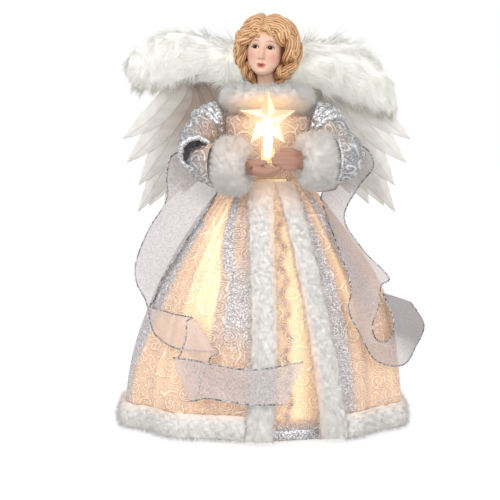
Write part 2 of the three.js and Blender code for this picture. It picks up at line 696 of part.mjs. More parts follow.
// Stole: pairs of edge points along one ribbon, from the left tail's tip, round the back, to the right tail's
const onRobeAt = (degrees, height, out) => onRobe(radians(degrees), height, out);
const fromElbow = (x, y, drop) => at(x, y, shoulderHeight - drop);
const stoleTack = ribHalfDepth + bodiceOut + seat + stoleThickness / 2;
const stoleEdges = [
  [onRobeAt(8, 70, 17), onRobeAt(5, 39, 17)],
  [onRobeAt(-4, 69.5, 18), onRobeAt(-4, 39.5, 18)],
  [onRobeAt(-16, 71, 16), onRobeAt(-15, 41, 16)],
  [onRobeAt(-27, 75, 15), onRobeAt(-22, 42, 15)],
  [onRobeAt(-35, 76, 14), onRobeAt(-26.5, 39, 14)],
  [onRobeAt(-36.5, 76, 12), onRobeAt(-28, 39, 12)],
  [onRobeAt(-35, 76, 10), onRobeAt(-26.5, 39, 10)],
  [onRobeAt(-33, 92, 10), onRobeAt(-24, 60, 10)],
  [onRobeAt(-34, 109, 10), onRobeAt(-21, 80, 10)],
  [onRobeAt(-32.5, 110.5, 8), onRobeAt(-19.7, 81, 8)],
  [onRobeAt(-34, 111, 6), onRobeAt(-21, 81.5, 6)],
  [onRobeAt(-44, 112, 6.5), onRobeAt(-36, 83, 6.5)],
  [onRobeAt(-52, 113, 6), onRobeAt(-46, 86, 6)],
  [onRobeAt(-60, 114, 6), onRobeAt(-52, 89, 6)],
  [onRobeAt(-66, 116, 6), onRobeAt(-57, 93, 6)],
  [fromElbow(-106, -35, 168), fromElbow(-114, -32, 167)],
  [onRobeAt(-72, 138, 5), fromElbow(-123, -20, 153)],
  [onRobeAt(-70, 160, 5), fromElbow(-124, -13, 137)],
  [onRobeAt(-70, 190, 5), fromElbow(-112, -8, 104)],
  [onRobeAt(-76, 208, 5), fromElbow(-95, -4, 74)],
  [fromElbow(-60, 4, 72), fromElbow(-95, 0, 54)],
  [fromElbow(-64, 10, 68), fromElbow(-90, 6, 34)],
  [fromElbow(-58, 14, 68), fromElbow(-66, 13, 29)],
  [onRobeAt(-124, waistHeight - 14, 3), fromElbow(-34, 24, 31)],
  [onRobeAt(-152, waistHeight - 15, 2), fromElbow(-17, 31, 32)],
  [onRobeAt(180, waistHeight - 16, 1.2), fromElbow(0, stoleTack, shoulderRise - ribRise)],
  [onRobeAt(152, waistHeight - 15, 2), fromElbow(17, 31, 32)],
  [onRobeAt(124, waistHeight - 14, 3), fromElbow(34, 24, 31)],
  [fromElbow(58, 14, 68), fromElbow(68, 13, 27)],
  [fromElbow(66, 9, 66), fromElbow(92, 6, 26)],
  [fromElbow(66, 3, 66), fromElbow(101, 0, 42)],
  [fromElbow(58, -8, 74), fromElbow(91, -6, 62)],
  [fromElbow(60, -31, 92), fromElbow(83, -10, 92)],
  [onRobeAt(48, 170, 7), fromElbow(92, -12, 118)],
  [onRobeAt(52, 142, 7), fromElbow(108, -16, 146)],
  [onRobeAt(48, 112, 8), onRobeAt(70, 124, 10)],
  [onRobeAt(50, 84, 8), onRobeAt(70, 106, 10)],
  [onRobeAt(62, 66, 8), onRobeAt(77, 98, 10)],
  [onRobeAt(80, 58, 9), onRobeAt(86, 96, 10)],
  [fromElbow(140, -8, 216), fromElbow(130, 0, 182)],
  [fromElbow(149, -4, 196), fromElbow(137, 4, 164)],
];
const stoleCurves = [0, 1].map((edge) => new THREE.CatmullRomCurve3(stoleEdges.map((pair) => pair[edge])));
const stoleSteps = 2 * (stoleEdges.length - 1);
const stoleStops = steps(stoleSteps).map((t) => stoleCurves.map((curve) => curve.getPoint(t)));
const stoleMiddles = stoleStops.map(([inner, outer]) => inner.clone().lerp(outer, 0.5));
const stoleRings = stoleStops.map(([inner, outer], i) => {
  const next = stoleMiddles[Math.min(i + 1, stoleSteps)];
  const along = next.clone().sub(stoleMiddles[Math.max(i - 1, 0)]);
  const face = outer.clone().sub(inner).cross(along).setLength(stoleThickness / 2);
  const front = [inner, stoleMiddles[i], outer].map((point) => point.clone().add(face));
  const back = [outer, stoleMiddles[i], inner].map((point) => point.clone().sub(face));
  return [...front, ...back];
});
add("stole", loft(stoleRings), organza);

// Wings: a bracket behind the bodice, and on each side a wire that turns in it with card, feathers and down
const bracketBack = chestHalfDepth + bodiceOut + seat + bracketRadius;
const bracketLow = shoulderHeight - bracketDrop;
const wingLegRadius = wingWireRadius + seat;
const bracketOutline = new THREE.Shape();
bracketOutline.absarc(wingHalfSpacing, 0, bracketRadius, -Math.PI / 2, Math.PI / 2);
bracketOutline.absarc(-wingHalfSpacing, 0, bracketRadius, Math.PI / 2, 1.5 * Math.PI);
for (const side of [1, -1]) {
  const hole = new THREE.Path();
  hole.absarc(side * wingHalfSpacing, 0, wingLegRadius, 0, 2 * Math.PI, true);
  bracketOutline.holes.push(hole);
}
add("wing_bracket",
  new THREE.ExtrudeGeometry(bracketOutline, { depth: bracketHeight, bevelEnabled: false, curveSegments: 6 })
    .translate(0, bracketBack, bracketLow), plastic);

// Each feather: distance out and height of its root and tip, and its width
const feathers = [
  { root: [62, 36], tip: [126, -19], width: 24 },
  { root: [58, 28], tip: [122, -42], width: 25 },
  { root: [54, 20], tip: [108, -64], width: 26 },
  { root: [50, 14], tip: [110, -90], width: 26 },
  { root: [46, 12], tip: [97, -84], width: 26 },
  { root: [42, 10], tip: [82, -82], width: 25 },
  { root: [38, 8], tip: [64, -72], width: 24 },
];
const cardFront = wingWireRadius + seat + wingCardThickness;
const layerPitch = featherThickness + featherGap;
const featherFront = cardFront + feathers.length * layerPitch;
const wingCardOutline = [[20, -6], [20, 18], [48, 44], [88, 52], [84, 30], [66, 8], [40, -8], [30, -8]];

const wings = [
  { name: "left", side: -1, downReach: 118 },
  { name: "right", side: 1, downReach: 106 },
];
for (const { name, side, downReach } of wings) {
  // Places a point by distance out, height above the shoulder and distance behind the hinge.
  const place = (out, rise, behind) => {
    const sweep = radians(wingSweep);
    return at(
      side * (wingHalfSpacing + out * Math.cos(sweep) - behind * Math.sin(sweep)),
      bracketBack + out * Math.sin(sweep) + behind * Math.cos(sweep),
      shoulderHeight + rise);
  };

  const legLow = -bracketDrop - wingLegReach;
  const legHigh = bracketHeight - bracketDrop;
  const wireLine = [
    place(0, legLow, 0), place(0, -bracketDrop / 2, 0), place(0, legHigh, 0), place(0, legHigh + 2, 0),
    place(10, 7, 0), place(22, 22, 0), place(46, 40, 0), place(84, 50, 0),
  ];
  add(`${name}_wing_wire`,
    bar(smoothPath(wireLine, wireLine.map(() => wingWireRadius), 21), 6), steel);

  const cardFaces = [-cardFront, -cardFront + wingCardThickness].map((behind) =>
    wingCardOutline.map(([out, rise]) => place(out, rise, behind)));
  add(`${name}_wing_card`, loft(cardFaces), card);

  feathers.forEach(({ root, tip, width }, i) => {
    const layer = feathers.length - 1 - i;
    const behind = -cardFront - featherGap - featherThickness / 2 - layer * layerPitch;
    const length = Math.hypot(tip[0] - root[0], tip[1] - root[1]);
    const squareOut = -(tip[1] - root[1]) / length;
    const squareRise = (tip[0] - root[0]) / length;
    const ring = (t) => {
      const half = Math.max(0.9, width / 2 * Math.sin(Math.PI * (0.06 + 0.9 * t ** 0.75)));
      const out = mix(root[0], tip[0], t);
      const rise = mix(root[1], tip[1], t);
      return [
        place(out + squareOut * half, rise + squareRise * half, behind),
        place(out, rise, behind - featherThickness / 2),
        place(out - squareOut * half, rise - squareRise * half, behind),
        place(out, rise, behind + featherThickness / 2),
      ];
    };
    add(`${name}_feather_${i + 1}`, loft(steps(7).map(ring)), feather);
  });

  // Down: a lumpy half-round pillow on each face, flat towards the feathers or the wire
  const downPillow = (flat, depth, way) => loft(steps(10).map((t) => {
    const swell = Math.sqrt(Math.max(0.02, 1 - (2 * t - 1) ** 2));
    const out = mix(downRoot, downReach, t);
    const middle = downRise + 14 * Math.sin(t * Math.PI) - 18 * t;
    return turn(10).map((a) => {
      const lump = 1 + 0.1 * Math.cos(3 * a + 7 * t);
      const rise = middle + downHalfHeight * swell * lump * Math.cos(a);
      return place(out, rise, way * (flat + depth * swell * lump * Math.max(0, Math.sin(a))));
    });
  }));
  add(`${name}_down_front`, downPillow(featherFront + featherGap, downDepth, -1), down);
  add(`${name}_down_back`, downPillow(wingWireRadius + seat, downBackDepth, 1), down);
}

export default topper;
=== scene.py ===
import functools
import math

import bpy
import numpy as np
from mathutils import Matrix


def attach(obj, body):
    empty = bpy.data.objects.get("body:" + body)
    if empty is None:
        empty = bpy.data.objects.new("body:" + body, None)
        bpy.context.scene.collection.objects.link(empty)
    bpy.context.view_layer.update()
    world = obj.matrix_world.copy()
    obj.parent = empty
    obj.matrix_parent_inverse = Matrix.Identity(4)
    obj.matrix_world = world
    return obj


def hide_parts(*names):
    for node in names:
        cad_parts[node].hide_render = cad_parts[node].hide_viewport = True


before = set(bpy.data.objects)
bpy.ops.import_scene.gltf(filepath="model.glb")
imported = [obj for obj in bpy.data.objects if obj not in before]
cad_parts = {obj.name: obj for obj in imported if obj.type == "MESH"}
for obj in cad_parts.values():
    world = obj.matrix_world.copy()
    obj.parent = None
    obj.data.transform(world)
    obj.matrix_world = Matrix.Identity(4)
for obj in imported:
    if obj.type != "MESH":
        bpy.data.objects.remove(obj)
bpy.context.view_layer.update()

# Camera: a long lens a little above the figure's waist, for a square picture of 500 by 500.
# It looks slightly down, so that the hem shows as a shallow curve.
camera_aim = (-0.01615, 0.0, 0.16453)
camera_distance, camera_rise, camera_lens = 1.6, math.radians(5), 121.25
camera = bpy.data.objects.new("camera", bpy.data.cameras.new("camera"))
camera.data.lens = camera_lens
camera.location = (
    camera_aim[0],
    camera_aim[1] - camera_distance * math.cos(camera_rise),
    camera_aim[2] + camera_distance * math.sin(camera_rise),
)
camera.rotation_euler = (math.pi / 2 - camera_rise, 0, 0)
bpy.context.scene.collection.objects.link(camera)
bpy.context.scene.camera = camera


# Tree cone: a cone rolled from grey board, which slips over the tree's top shoot and carries the figure.
# Board shows short paper fibres and a matte, faintly mottled face. The wings' cards are cut from it too.
board_fibre, board_relief = 0.004, 0.0003


def linear(code):
    """An sRGB hex code as linear RGBA: ((c + 0.055) / 1.055) ** 2.4 a channel, or c / 12.92 where dark."""
    c = np.array([int(code[k:k + 2], 16) for k in (1, 3, 5)]) / 255
    return (*np.where(c <= 0.04045, c / 12.92, ((c + 0.055) / 1.055) ** 2.4), 1.0)


def add_node(material, kind, output, inputs, **settings):
    """Adds one shader node with its settings, and gives its output socket of that name."""
    made = material.node_tree.nodes.new("ShaderNode" + kind)
    for name, value in settings.items():
        setattr(made, name, value)
    feed(material, inputs, made)
    return made.outputs[output]


def feed(material, inputs, node=None):
    """Sets inputs of a node, or of the material's own shader, to values, hex colours or linked sockets."""
    node = node or material.node_tree.nodes["Principled BSDF"]
    for name, value in inputs.items():
        if isinstance(value, bpy.types.NodeSocket):
            material.node_tree.links.new(value, node.inputs[name])
        else:
            node.inputs[name].default_value = linear(value) if isinstance(value, str) else value


def new_material(name, **finish):
    """A material with typical values on its Principled shader, by input name with spaces as underscores."""
    made = bpy.data.materials.new(name)
    made.use_nodes = True
    feed(made, {key.replace("_", " "): value for key, value in finish.items()})
    return made


def dress(material, *nodes):
    """Gives CAD nodes their finish."""
    for name in nodes:
        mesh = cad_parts[name].data
        mesh.materials.clear()
        mesh.materials.append(material)


grey_board = new_material("grey_board", Roughness=0.9, IOR=1.5)
place = add_node(grey_board, "TexCoord", "Object", {})
fibres = add_node(grey_board, "TexNoise", "Fac", {"Vector": place, "Scale": 1 / board_fibre, "Detail": 6.0})
mottle = add_node(grey_board, "MixRGB", "Color", {
    "Fac": fibres, "Color1": "#BDB5A6", "Color2": "#E2DCD0"})
relief = add_node(grey_board, "Bump", "Normal", {
    "Height": fibres, "Strength": 0.4, "Distance": board_relief})
feed(grey_board, {"Base Color": mottle, "Normal": relief})
dress(grey_board, "tree_cone", "left_wing_card", "right_wing_card")


# Lead grommet, light string and the star's lead: soft PVC, moulded and extruded, off-white.
# Moulded PVC has a low sheen and a slight cloudiness.
pvc_cloud = 0.003
soft_pvc = new_material("soft_pvc", Roughness=0.42, IOR=1.53)
place = add_node(soft_pvc, "TexCoord", "Object", {})
cloud = add_node(soft_pvc, "TexNoise", "Fac", {"Vector": place, "Scale": 1 / pvc_cloud, "Detail": 3.0})
feed(soft_pvc, {"Base Color": add_node(soft_pvc, "MixRGB", "Color", {
    "Fac": cloud, "Color1": "#DEDBD0", "Color2": "#F2F0E8"})})
dress(soft_pvc, "lead_grommet", "light_string", "star_lead")


# Lamps under the skirt: drawn glass with the filament lit, so the whole envelope glows warm.
# The glow is palest where the glass faces the eye, and deeper at its rim.
lit_glass = new_material(
    "lit_bulb_glass", Base_Color="#FFE3A8", Roughness=0.08, IOR=1.5, Emission_Strength=3.0)
rim = add_node(lit_glass, "LayerWeight", "Facing", {"Blend": 0.35})
feed(lit_glass, {"Emission Color": add_node(lit_glass, "MixRGB", "Color", {
    "Fac": rim, "Color1": "#FFF3CF", "Color2": "#FFC870"})})
dress(lit_glass, *[f"skirt_bulb_{k}" for k in range(1, 10)])


# Wires: hard-drawn steel for the hem hoop, the arms and the wings, left bright.
# Drawing leaves fine streaks, seen as a change in roughness.
draw_streak = 0.0012
drawn_steel = new_material("drawn_steel_wire", Base_Color="#B9BCC0", Metallic=1.0)
place = add_node(drawn_steel, "TexCoord", "Object", {})
streak = add_node(drawn_steel, "TexNoise", "Fac", {
    "Vector": place, "Scale": 1 / draw_streak, "Detail": 4.0})
feed(drawn_steel, {"Roughness": add_node(drawn_steel, "MapRange", "Result", {
    "Value": streak, "To Min": 0.25, "To Max": 0.5})})
dress(drawn_steel, "hem_hoop", "left_arm_wire", "right_arm_wire", "left_wing_wire", "right_wing_wire")


# Torso and wing bracket: injection-moulded polystyrene, plain and matte, hidden by the clothes.
# A fine spark-eroded mould grain shows close to.
mould_grain, mould_relief = 0.0009, 0.0002
moulded_plastic = new_material(
    "moulded_polystyrene", Base_Color="#E6E1D6", Roughness=0.55, IOR=1.59)
place = add_node(moulded_plastic, "TexCoord", "Object", {})
grain = add_node(moulded_plastic, "TexNoise", "Fac", {
    "Vector": place, "Scale": 1 / mould_grain, "Detail": 2.0})
feed(moulded_plastic, {"Normal": add_node(moulded_plastic, "Bump", "Normal", {
    "Height": grain, "Strength": 0.25, "Distance": mould_relief})})
dress(moulded_plastic, "torso", "wing_bracket")


# Underskirt: satin brocade cut as most of a circle, gathered at the waist and spread by a hoop in its hem.
# Lamps behind it make the open front glow yellow, with a silver vine of raised thread down the middle.
waist_height, hem_height = 0.233, 0.0015
waist_half_width, waist_half_depth = 0.031, 0.027
hem_half_width, hem_front_depth, hem_back_depth = 0.122, 0.104, 0.086
hem_sway = -0.004
flare_power = 0.85
fold_count, underskirt_fold = 10, 0.002
open_front = np.radians([-14, 46, 346])
skirt_rows, skirt_columns = 190, 200
vine_angle, vine_top = math.radians(11), 0.215
vine_wave, vine_swing, vine_width = 0.029, 0.0020, 0.0023
lace_top, lace_fade = 0.022, 0.010


def drop_of(height):
    """Share of the way down from the waist to the hem."""
    return ramp(waist_height - height, waist_height - hem_height)


def ramp(value, length):
    """0 where the value is below 0, 1 where it is past the length, and even between them."""
    return np.clip(value / length, 0, 1)


def bump(value, middle, width):
    """A smooth bump of height 1: exp(-((value - middle) / width) ** 2)."""
    return np.exp(-((value - middle) / width) ** 2)


def spread(x, y, z):
    """Points of a grid from coordinates that each run along it, across it or both."""
    return np.stack(np.broadcast_arrays(x, y, z), axis=-1)


def skirt(angle, height, out, waist_lift, hem_lift, fold):
    """A skirt layer: an oval that widens by a quarter sine from the waist to the hem, with upright folds.
    Flare is sin(drop ** power * pi / 2), and the fold adds fold * drop * cos(count * angle)."""
    drop = drop_of(height)
    flare = np.sin(drop ** flare_power * np.pi / 2)
    lift = waist_lift + (hem_lift - waist_lift) * flare + fold * drop * np.cos(fold_count * angle) + out
    hem_depth = np.where(np.cos(angle) > 0, hem_front_depth, hem_back_depth)
    across = waist_half_width + (hem_half_width - waist_half_width) * flare + lift
    depth = waist_half_depth + (hem_depth - waist_half_depth) * flare + lift
    return spread(across * np.sin(angle) + hem_sway * flare, -depth * np.cos(angle), height)


def on_cloth(angle, height):
    """Where a point lies on the flat cut, a ring sector: its distance from the sector's point is the waist's
    distance plus 1.08 of the drop, and its angle there is the angle round the skirt times sector_share."""
    point_distance, sector_share = 0.085, 0.364
    reach = point_distance + 1.08 * (waist_height - height)
    return reach * np.sin(sector_share * angle), reach * np.cos(sector_share * angle)


def band_faces(rows, columns, closed=False):
    """Two triangles a cell over rows by columns of points; closed joins the last column to the first."""
    row, column = np.meshgrid(
        np.arange(rows - 1), np.arange(columns if closed else columns - 1), indexing="ij")
    here = row * columns + column
    beside = row * columns + (column + 1) % columns
    halves = [[here, beside, beside + columns], [here, beside + columns, here + columns]]
    return np.concatenate([np.stack(half, axis=-1).reshape(-1, 3) for half in halves])


def packed(values, kind=np.float32):
    """Values in one row, as Blender takes them."""
    return np.ascontiguousarray(values, dtype=kind).ravel()


def new_piece(name, points, faces, material, body="figure", slot=None, normals=None, **fields):
    """A smooth mesh piece from points and triangles.
    A field gives each point a value, spread over the grid where it is smaller, or a colour."""
    grid = np.shape(points)[:-1]
    count = math.prod(grid)
    mesh = bpy.data.meshes.new(name)
    mesh.vertices.add(count)
    mesh.vertices.foreach_set("co", packed(points))
    mesh.loops.add(faces.size)
    mesh.loops.foreach_set("vertex_index", packed(faces, np.int32))
    mesh.polygons.add(len(faces))
    mesh.polygons.foreach_set("loop_start", np.arange(0, faces.size, 3, dtype=np.int32))
    mesh.polygons.foreach_set("use_smooth", np.ones(len(faces), dtype=bool))
    mesh.update(calc_edges=True)
    for field, values in fields.items():
        if np.ndim(values) > len(grid):
            mesh.attributes.new(field, "FLOAT_COLOR", "POINT").data.foreach_set("color", packed(values))
        else:
            values = np.broadcast_to(values, grid)
            mesh.attributes.new(field, "FLOAT", "POINT").data.foreach_set("value", packed(values))
    if normals is not None:
        mesh.normals_split_custom_set_from_vertices(normals)
    mesh.materials.append(material)
    piece = bpy.data.objects.new(name, mesh)
    bpy.context.scene.collection.objects.link(piece)
    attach(piece, body)
    return piece


# Real threads and glitter flakes are finer than these, which are as coarse as they need to be to show
flake_size, satin_thread = 0.0009, 0.0008
scroll_line, spiral_pitch, scroll_relief = 0.0011, 0.0046, 0.0024


def brocade(name, silver_dark, silver_light, ground, thread, repeat, glitter, crest_highlight):
    """Brocade: silver glitter thread where no lamp shines through, and lit satin where one does.
    Scrolls are raised lines on the flat cloth: spirals of r / pitch + turn, and curved stems between them.
    The piece's fields give each point's place on the flat cloth and how lit it is."""
    cloth = new_material(name, IOR=1.5, Emission_Strength=0.44)
    made = functools.partial(add_node, cloth)
    place = made("TexCoord", "Object", {})
    lit, across, along = (made("Attribute", "Fac", {}, attribute_name=k) for k in ("lit", "across", "along"))
    flat = made("CombineXYZ", "Vector", {"X": across, "Y": along})

    # A spiral in the middle of each cell, wound to the left or the right by the cell's own random colour
    from_centre = made("TexVoronoi", "Distance", {"Vector": flat, "Scale": 1 / repeat, "Randomness": 0.7},
                       voronoi_dimensions="2D")
    cell = from_centre.node.outputs
    offset = made("VectorMath", "Vector", {0: flat, 1: cell["Position"]}, operation="SUBTRACT")
    side = made("SeparateXYZ", "X", {"Vector": offset}).node.outputs
    turn = made("Math", "Value", {0: side["Y"], 1: side["X"]}, operation="ARCTAN2")
    hand = made("SeparateColor", "Green", {"Color": cell["Color"]})
    hand = made("Math", "Value", {0: hand, 1: 0.5}, operation="GREATER_THAN")
    hand = made("Math", "Value", {0: hand, 1: 1 / math.pi, 2: -0.5 / math.pi}, operation="MULTIPLY_ADD")
    turn = made("Math", "Value", {0: turn, 1: hand}, operation="MULTIPLY")
    coil = made("Math", "Value", {0: from_centre, 1: repeat / spiral_pitch, 2: turn},
                operation="MULTIPLY_ADD")
    coil = made("Math", "Value", {0: coil, 1: 0.5}, operation="PINGPONG")
    coil = made("MapRange", "Result", {
        "Value": coil, "From Min": 0.3 * scroll_line / spiral_pitch,
        "From Max": 1.2 * scroll_line / spiral_pitch, "To Min": 1.0, "To Max": 0.0})
    near = made("MapRange", "Result", {
        "Value": from_centre, "From Min": 0.36, "From Max": 0.42, "To Min": 1.0, "To Max": 0.0})
    coil = made("Math", "Value", {0: coil, 1: near}, operation="MULTIPLY")

    # Stems along the borders of larger cells, bent by noise, wherever no spiral lies
    drift = made("TexNoise", "Color", {"Vector": flat, "Scale": 0.9 / repeat, "Detail": 0.0},
                 noise_dimensions="2D")
    bent = made("VectorMath", "Vector", {0: drift, 1: (0.8 * repeat, 0.8 * repeat, 0), 2: flat},
                operation="MULTIPLY_ADD")
    edge = made("TexVoronoi", "Distance", {"Vector": bent, "Scale": 0.8 / repeat, "Randomness": 0.75},
                voronoi_dimensions="2D", feature="DISTANCE_TO_EDGE")
    stem = made("MapRange", "Result", {
        "Value": edge, "From Min": 0.3 * scroll_line / repeat,
        "From Max": 1.3 * scroll_line / repeat, "To Min": 1.0, "To Max": 0.0})
    apart = made("MapRange", "Result", {"Value": from_centre, "From Min": 0.36, "From Max": 0.46})
    stem = made("Math", "Value", {0: stem, 1: apart}, operation="MULTIPLY")
    raised = made("Math", "Value", {0: coil, 1: stem}, operation="MAXIMUM")

    # Base colour: flakes of silver with pale crests, or satin with paler thread, both with painted white
    # glints
    flakes = made("TexVoronoi", "Color", {"Vector": place, "Scale": 1 / flake_size})
    flake = made("SeparateColor", "Red", {"Color": flakes})
    silver = made("MixRGB", "Color", {
        "Fac": flake, "Color1": silver_dark, "Color2": silver_light})
    # The pale crests and paler thread are partly the thread's own colour and partly a painted highlight on
    # the relief
    crest = made("Math", "Value", {0: raised, 1: crest_highlight}, operation="MULTIPLY")
    silver = made("MixRGB", "Color", {"Fac": crest, "Color1": silver, "Color2": "#F1EFEF"})
    satin = made("MixRGB", "Color", {"Fac": raised, "Color1": ground, "Color2": thread})
    sparkle = made("MapRange", "Result", {"Value": flake, "From Min": 0.72, "To Max": 0.6})
    glint = made("Math", "Value", {0: sparkle, 1: glitter}, operation="MULTIPLY")
    silver = made("MixRGB", "Color", {"Fac": glint, "Color1": silver, "Color2": "#FFFFFF"})
    satin = made("MixRGB", "Color", {"Fac": sparkle, "Color1": satin, "Color2": "#F4E9E0"})
    base = made("MixRGB", "Color", {"Fac": lit, "Color1": silver, "Color2": satin})

    # Light that comes through, painted as glow: peach where it is weak and pale yellow, and stronger, near a
    # lamp; a faint grey glow where none comes
    warmth = made("MapRange", "Result", {"Value": lit, "From Min": 0.45, "From Max": 1.0})
    tint = made("MixRGB", "Color", {"Fac": warmth, "Color1": "#F2AE7E", "Color2": "#FFEEC4"})
    shade = made("MapRange", "Result", {"Value": raised, "To Min": 0.86, "To Max": 1.14})
    strength = made("Math", "Value", {0: lit, 1: shade}, operation="MULTIPLY")
    near_lamp = made("MapRange", "Result", {"Value": warmth, "To Min": 0.82, "To Max": 1.65})
    tint = made("VectorMath", "Vector", {0: tint, "Scale": near_lamp}, operation="SCALE")
    glow = made("MixRGB", "Color", {"Fac": strength, "Color1": "#504E52", "Color2": tint})

    weave = made("TexNoise", "Fac", {"Vector": place, "Scale": 1 / satin_thread, "Detail": 2.0})
    heights = made("Math", "Value", {0: weave, 1: 0.3, 2: raised}, operation="MULTIPLY_ADD")
    relief = made("MapRange", "Result", {"Value": lit, "To Min": 0.55, "To Max": 1.0})
    feed(cloth, {
        "Base Color": base, "Emission Color": glow,
        "Metallic": made("MapRange", "Result", {"Value": lit, "To Min": 0.35, "To Max": 0.0}),
        "Roughness": made("MapRange", "Result", {"Value": lit, "To Min": 0.48, "To Max": 0.55}),
        "Normal": made("Bump", "Normal", {
            "Height": heights, "Distance": scroll_relief, "Strength": relief})})
    return cloth


skirt_brocade = brocade(
    "satin_skirt_brocade", "#8B8587", "#D6CFCD", "#D3A77E", "#F2D6B4",
    repeat=0.021, glitter=1.0, crest_highlight=0.3)

angle = np.concatenate([
    np.linspace(start, end, skirt_columns, endpoint=False)
    for start, end in zip(open_front, open_front[1:])])[None, :]
height = np.linspace(hem_height, waist_height, skirt_rows)[:, None]
across, along = on_cloth(angle - vine_angle, height)
vine = bump(across, vine_swing * np.sin(2 * np.pi * along / vine_wave), vine_width)
vine = vine * (0.7 + 0.3 * np.cos(2 * np.pi * along / (0.37 * vine_wave)))
lit = 0.66 + 0.32 * bump(across, 0.0068, 0.012)
lit = lit * (1 - 0.74 * vine * ramp(vine_top - height, 0.03))
lit = lit * (1 - 0.9 * ramp(lace_top - height, lace_fade))
points = skirt(angle, height, 0.0, 0.0, 0.0, underskirt_fold)
underskirt = new_piece(
    "underskirt_cloth", points, band_faces(*points.shape[:2], closed=True), skirt_brocade,
    slot="robe_brocade", lit=lit, across=across, along=along)
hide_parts("underskirt")


# Hem braid: a flat silver braid of twisted metal thread, stitched round the underskirt's hem.
# Each plait catches the light on one side, so the braid looks like a row of beads.
braid_height, braid_lift, plait_length = 0.009, 0.0013, 0.004
braid_seat = 0.0003
braid_rows, braid_columns = 13, 900


def turns(count):
    """Angles evenly round a circle."""
    return np.linspace(0, 2 * np.pi, count, endpoint=False)


silver_thread = new_material("silver_metal_thread", Metallic=0.85)
place = add_node(silver_thread, "TexCoord", "Object", {})
glint = add_node(silver_thread, "TexVoronoi", "Color", {"Vector": place, "Scale": 1 / flake_size})
shade = add_node(silver_thread, "SeparateColor", "Green", {"Color": glint})
tone = add_node(silver_thread, "MixRGB", "Color", {
    "Fac": shade, "Color1": "#86868A", "Color2": "#F2F2F4"})
rough = add_node(silver_thread, "MapRange", "Result", {"Value": shade, "To Min": 0.58, "To Max": 0.34})
feed(silver_thread, {"Base Color": tone, "Roughness": rough})

angle = turns(braid_columns)[None, :]
across_braid = np.linspace(0, 1, braid_rows)[:, None]
height = hem_height + braid_height * across_braid
plaits = 2 * np.pi * hem_half_width / plait_length
plait = np.abs(np.sin(plaits / 2 * angle + 2.2 * np.pi * np.abs(across_braid - 0.5)))
out = braid_lift * (0.35 + 0.65 * plait) * np.sin(np.pi * (0.04 + 0.92 * across_braid)) ** 0.5
points = skirt(angle, height, braid_seat + out, 0.0, 0.0, underskirt_fold)
hem_braid = new_piece(
    "underskirt_hem_braid", points, band_faces(*points.shape[:2], closed=True), silver_thread,
    slot="silver_braid")
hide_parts("underskirt_hem_trim")


# Robe: heavier brocade in one piece from front edge to front edge, pleated into the waistband.
# Where lamps shine through it is peach to pale yellow, and between them its silver thread shows as glitter.
robe_waist_lift, robe_hem_lift, robe_fold = 0.0016, 0.009, 0.0045
robe_hem = 0.026
robe_columns, robe_rows = 560, 170
waist_gather, waist_pleats, hem_gather, hem_pleats = 0.0009, 46, 0.0010, 23
puff = 0.011
front_fur_hem, front_fur_lap = 0.022, 0.44
fur_low, fur_high = hem_height, waist_height - 0.005
# Angle at the hem, angle at the top and bow of each front plush strip, in degrees, and its width at the top
left_fur, right_fur = (-2, -6, 4, 0.021), (28, 23, -1, 0.016)


def fur_share(height):
    """Share of the way up from the hem to the top of the front plush."""
    return (height - fur_low) / (fur_high - fur_low)


def fur_angle(height, strip):
    """Angle of a front plush strip's middle: hem + (top - hem) * share + bow * sin(pi * share)."""
    hem, top, bow, _ = strip
    share = fur_share(height)
    return np.radians(hem + (top - hem) * share + bow * np.sin(np.pi * share))


def fur_half_angle(height, strip):
    """Half the angle that a front plush strip spans: its half-width over the skirt's half-width there."""
    half_width = (front_fur_hem + (strip[3] - front_fur_hem) * fur_share(height)) / 2
    flare = np.sin(drop_of(height) ** flare_power * np.pi / 2)
    return half_width / (waist_half_width + (hem_half_width - waist_half_width) * flare)


def fullness(angle, height):
    """How far the robe puffs out on its right side, halfway down: a bump round it times a bump up it."""
    return puff * bump(np.degrees(angle), 84, 38) * bump(height, 0.130, 0.056)


def between(value, low, high, soft):
    """1 between two limits and 0 outside them, with soft borders."""
    return np.clip((value - low) / soft + 0.5, 0, 1) * np.clip((high - value) / soft + 0.5, 0, 1)


height = np.linspace(robe_hem, waist_height, robe_rows)[:, None]
start = fur_angle(height, right_fur) + (1 - front_fur_lap) * fur_half_angle(height, right_fur)
end = 2 * np.pi + fur_angle(height, left_fur) - (1 - front_fur_lap) * fur_half_angle(height, left_fur)
angle = start + (end - start) * np.linspace(0, 1, robe_columns)[None, :]
across, along = on_cloth(angle - np.pi, height)
drop = drop_of(height)
gathers = (waist_gather * (1 - drop) ** 2 * np.cos(waist_pleats * angle)
           + hem_gather * drop * np.cos(hem_pleats * angle + 9 * drop))
points = skirt(angle, height, gathers + fullness(angle, height), robe_waist_lift, robe_hem_lift, robe_fold)

degrees = np.degrees(angle)
degrees = np.where(degrees > 180, degrees - 360, degrees)
# Angles of the seam between the bright left gore and the silver one, and of the bright gore's other edge
seam = np.interp(height, [0.026, 0.108, 0.145, 0.216], [-23.5, -23.5, -24.0, -37.5])
gore_edge = np.interp(height, [0.06, 0.11, 0.19, 0.225], [-68, -61, -59, -80])
gore = between(degrees, gore_edge, seam, 3.0)
hot = 0.4 * bump(degrees, seam - 7, 11) * between(height, 0.105, 0.203, 0.03)
strip = between(degrees, seam + 7.5, -7, 2.0) * between(height, 0.150, 0.24, 0.03)
border = between(degrees, seam + 0.5, seam + 4, 1.5) * between(height, 0.06, 0.150, 0.02)
below = between(height, 0.0, 0.094, 0.03) * between(degrees, gore_edge, -6, 6)
low_lamp = 0.2 * bump(degrees, -44, 14) * bump(height, 0.06, 0.03)
right = between(degrees, 38.5, 88, 4) * (
    0.56 + 0.25 * bump(degrees, 47, 8) * bump(height, 0.135, 0.04)
    + 0.16 * bump(degrees, 62, 12) * bump(height, 0.055, 0.025))
right = right * (1 - 0.8 * (between(degrees, 50, 63, 4) * between(height, 0.118, 0.222, 0.03)))
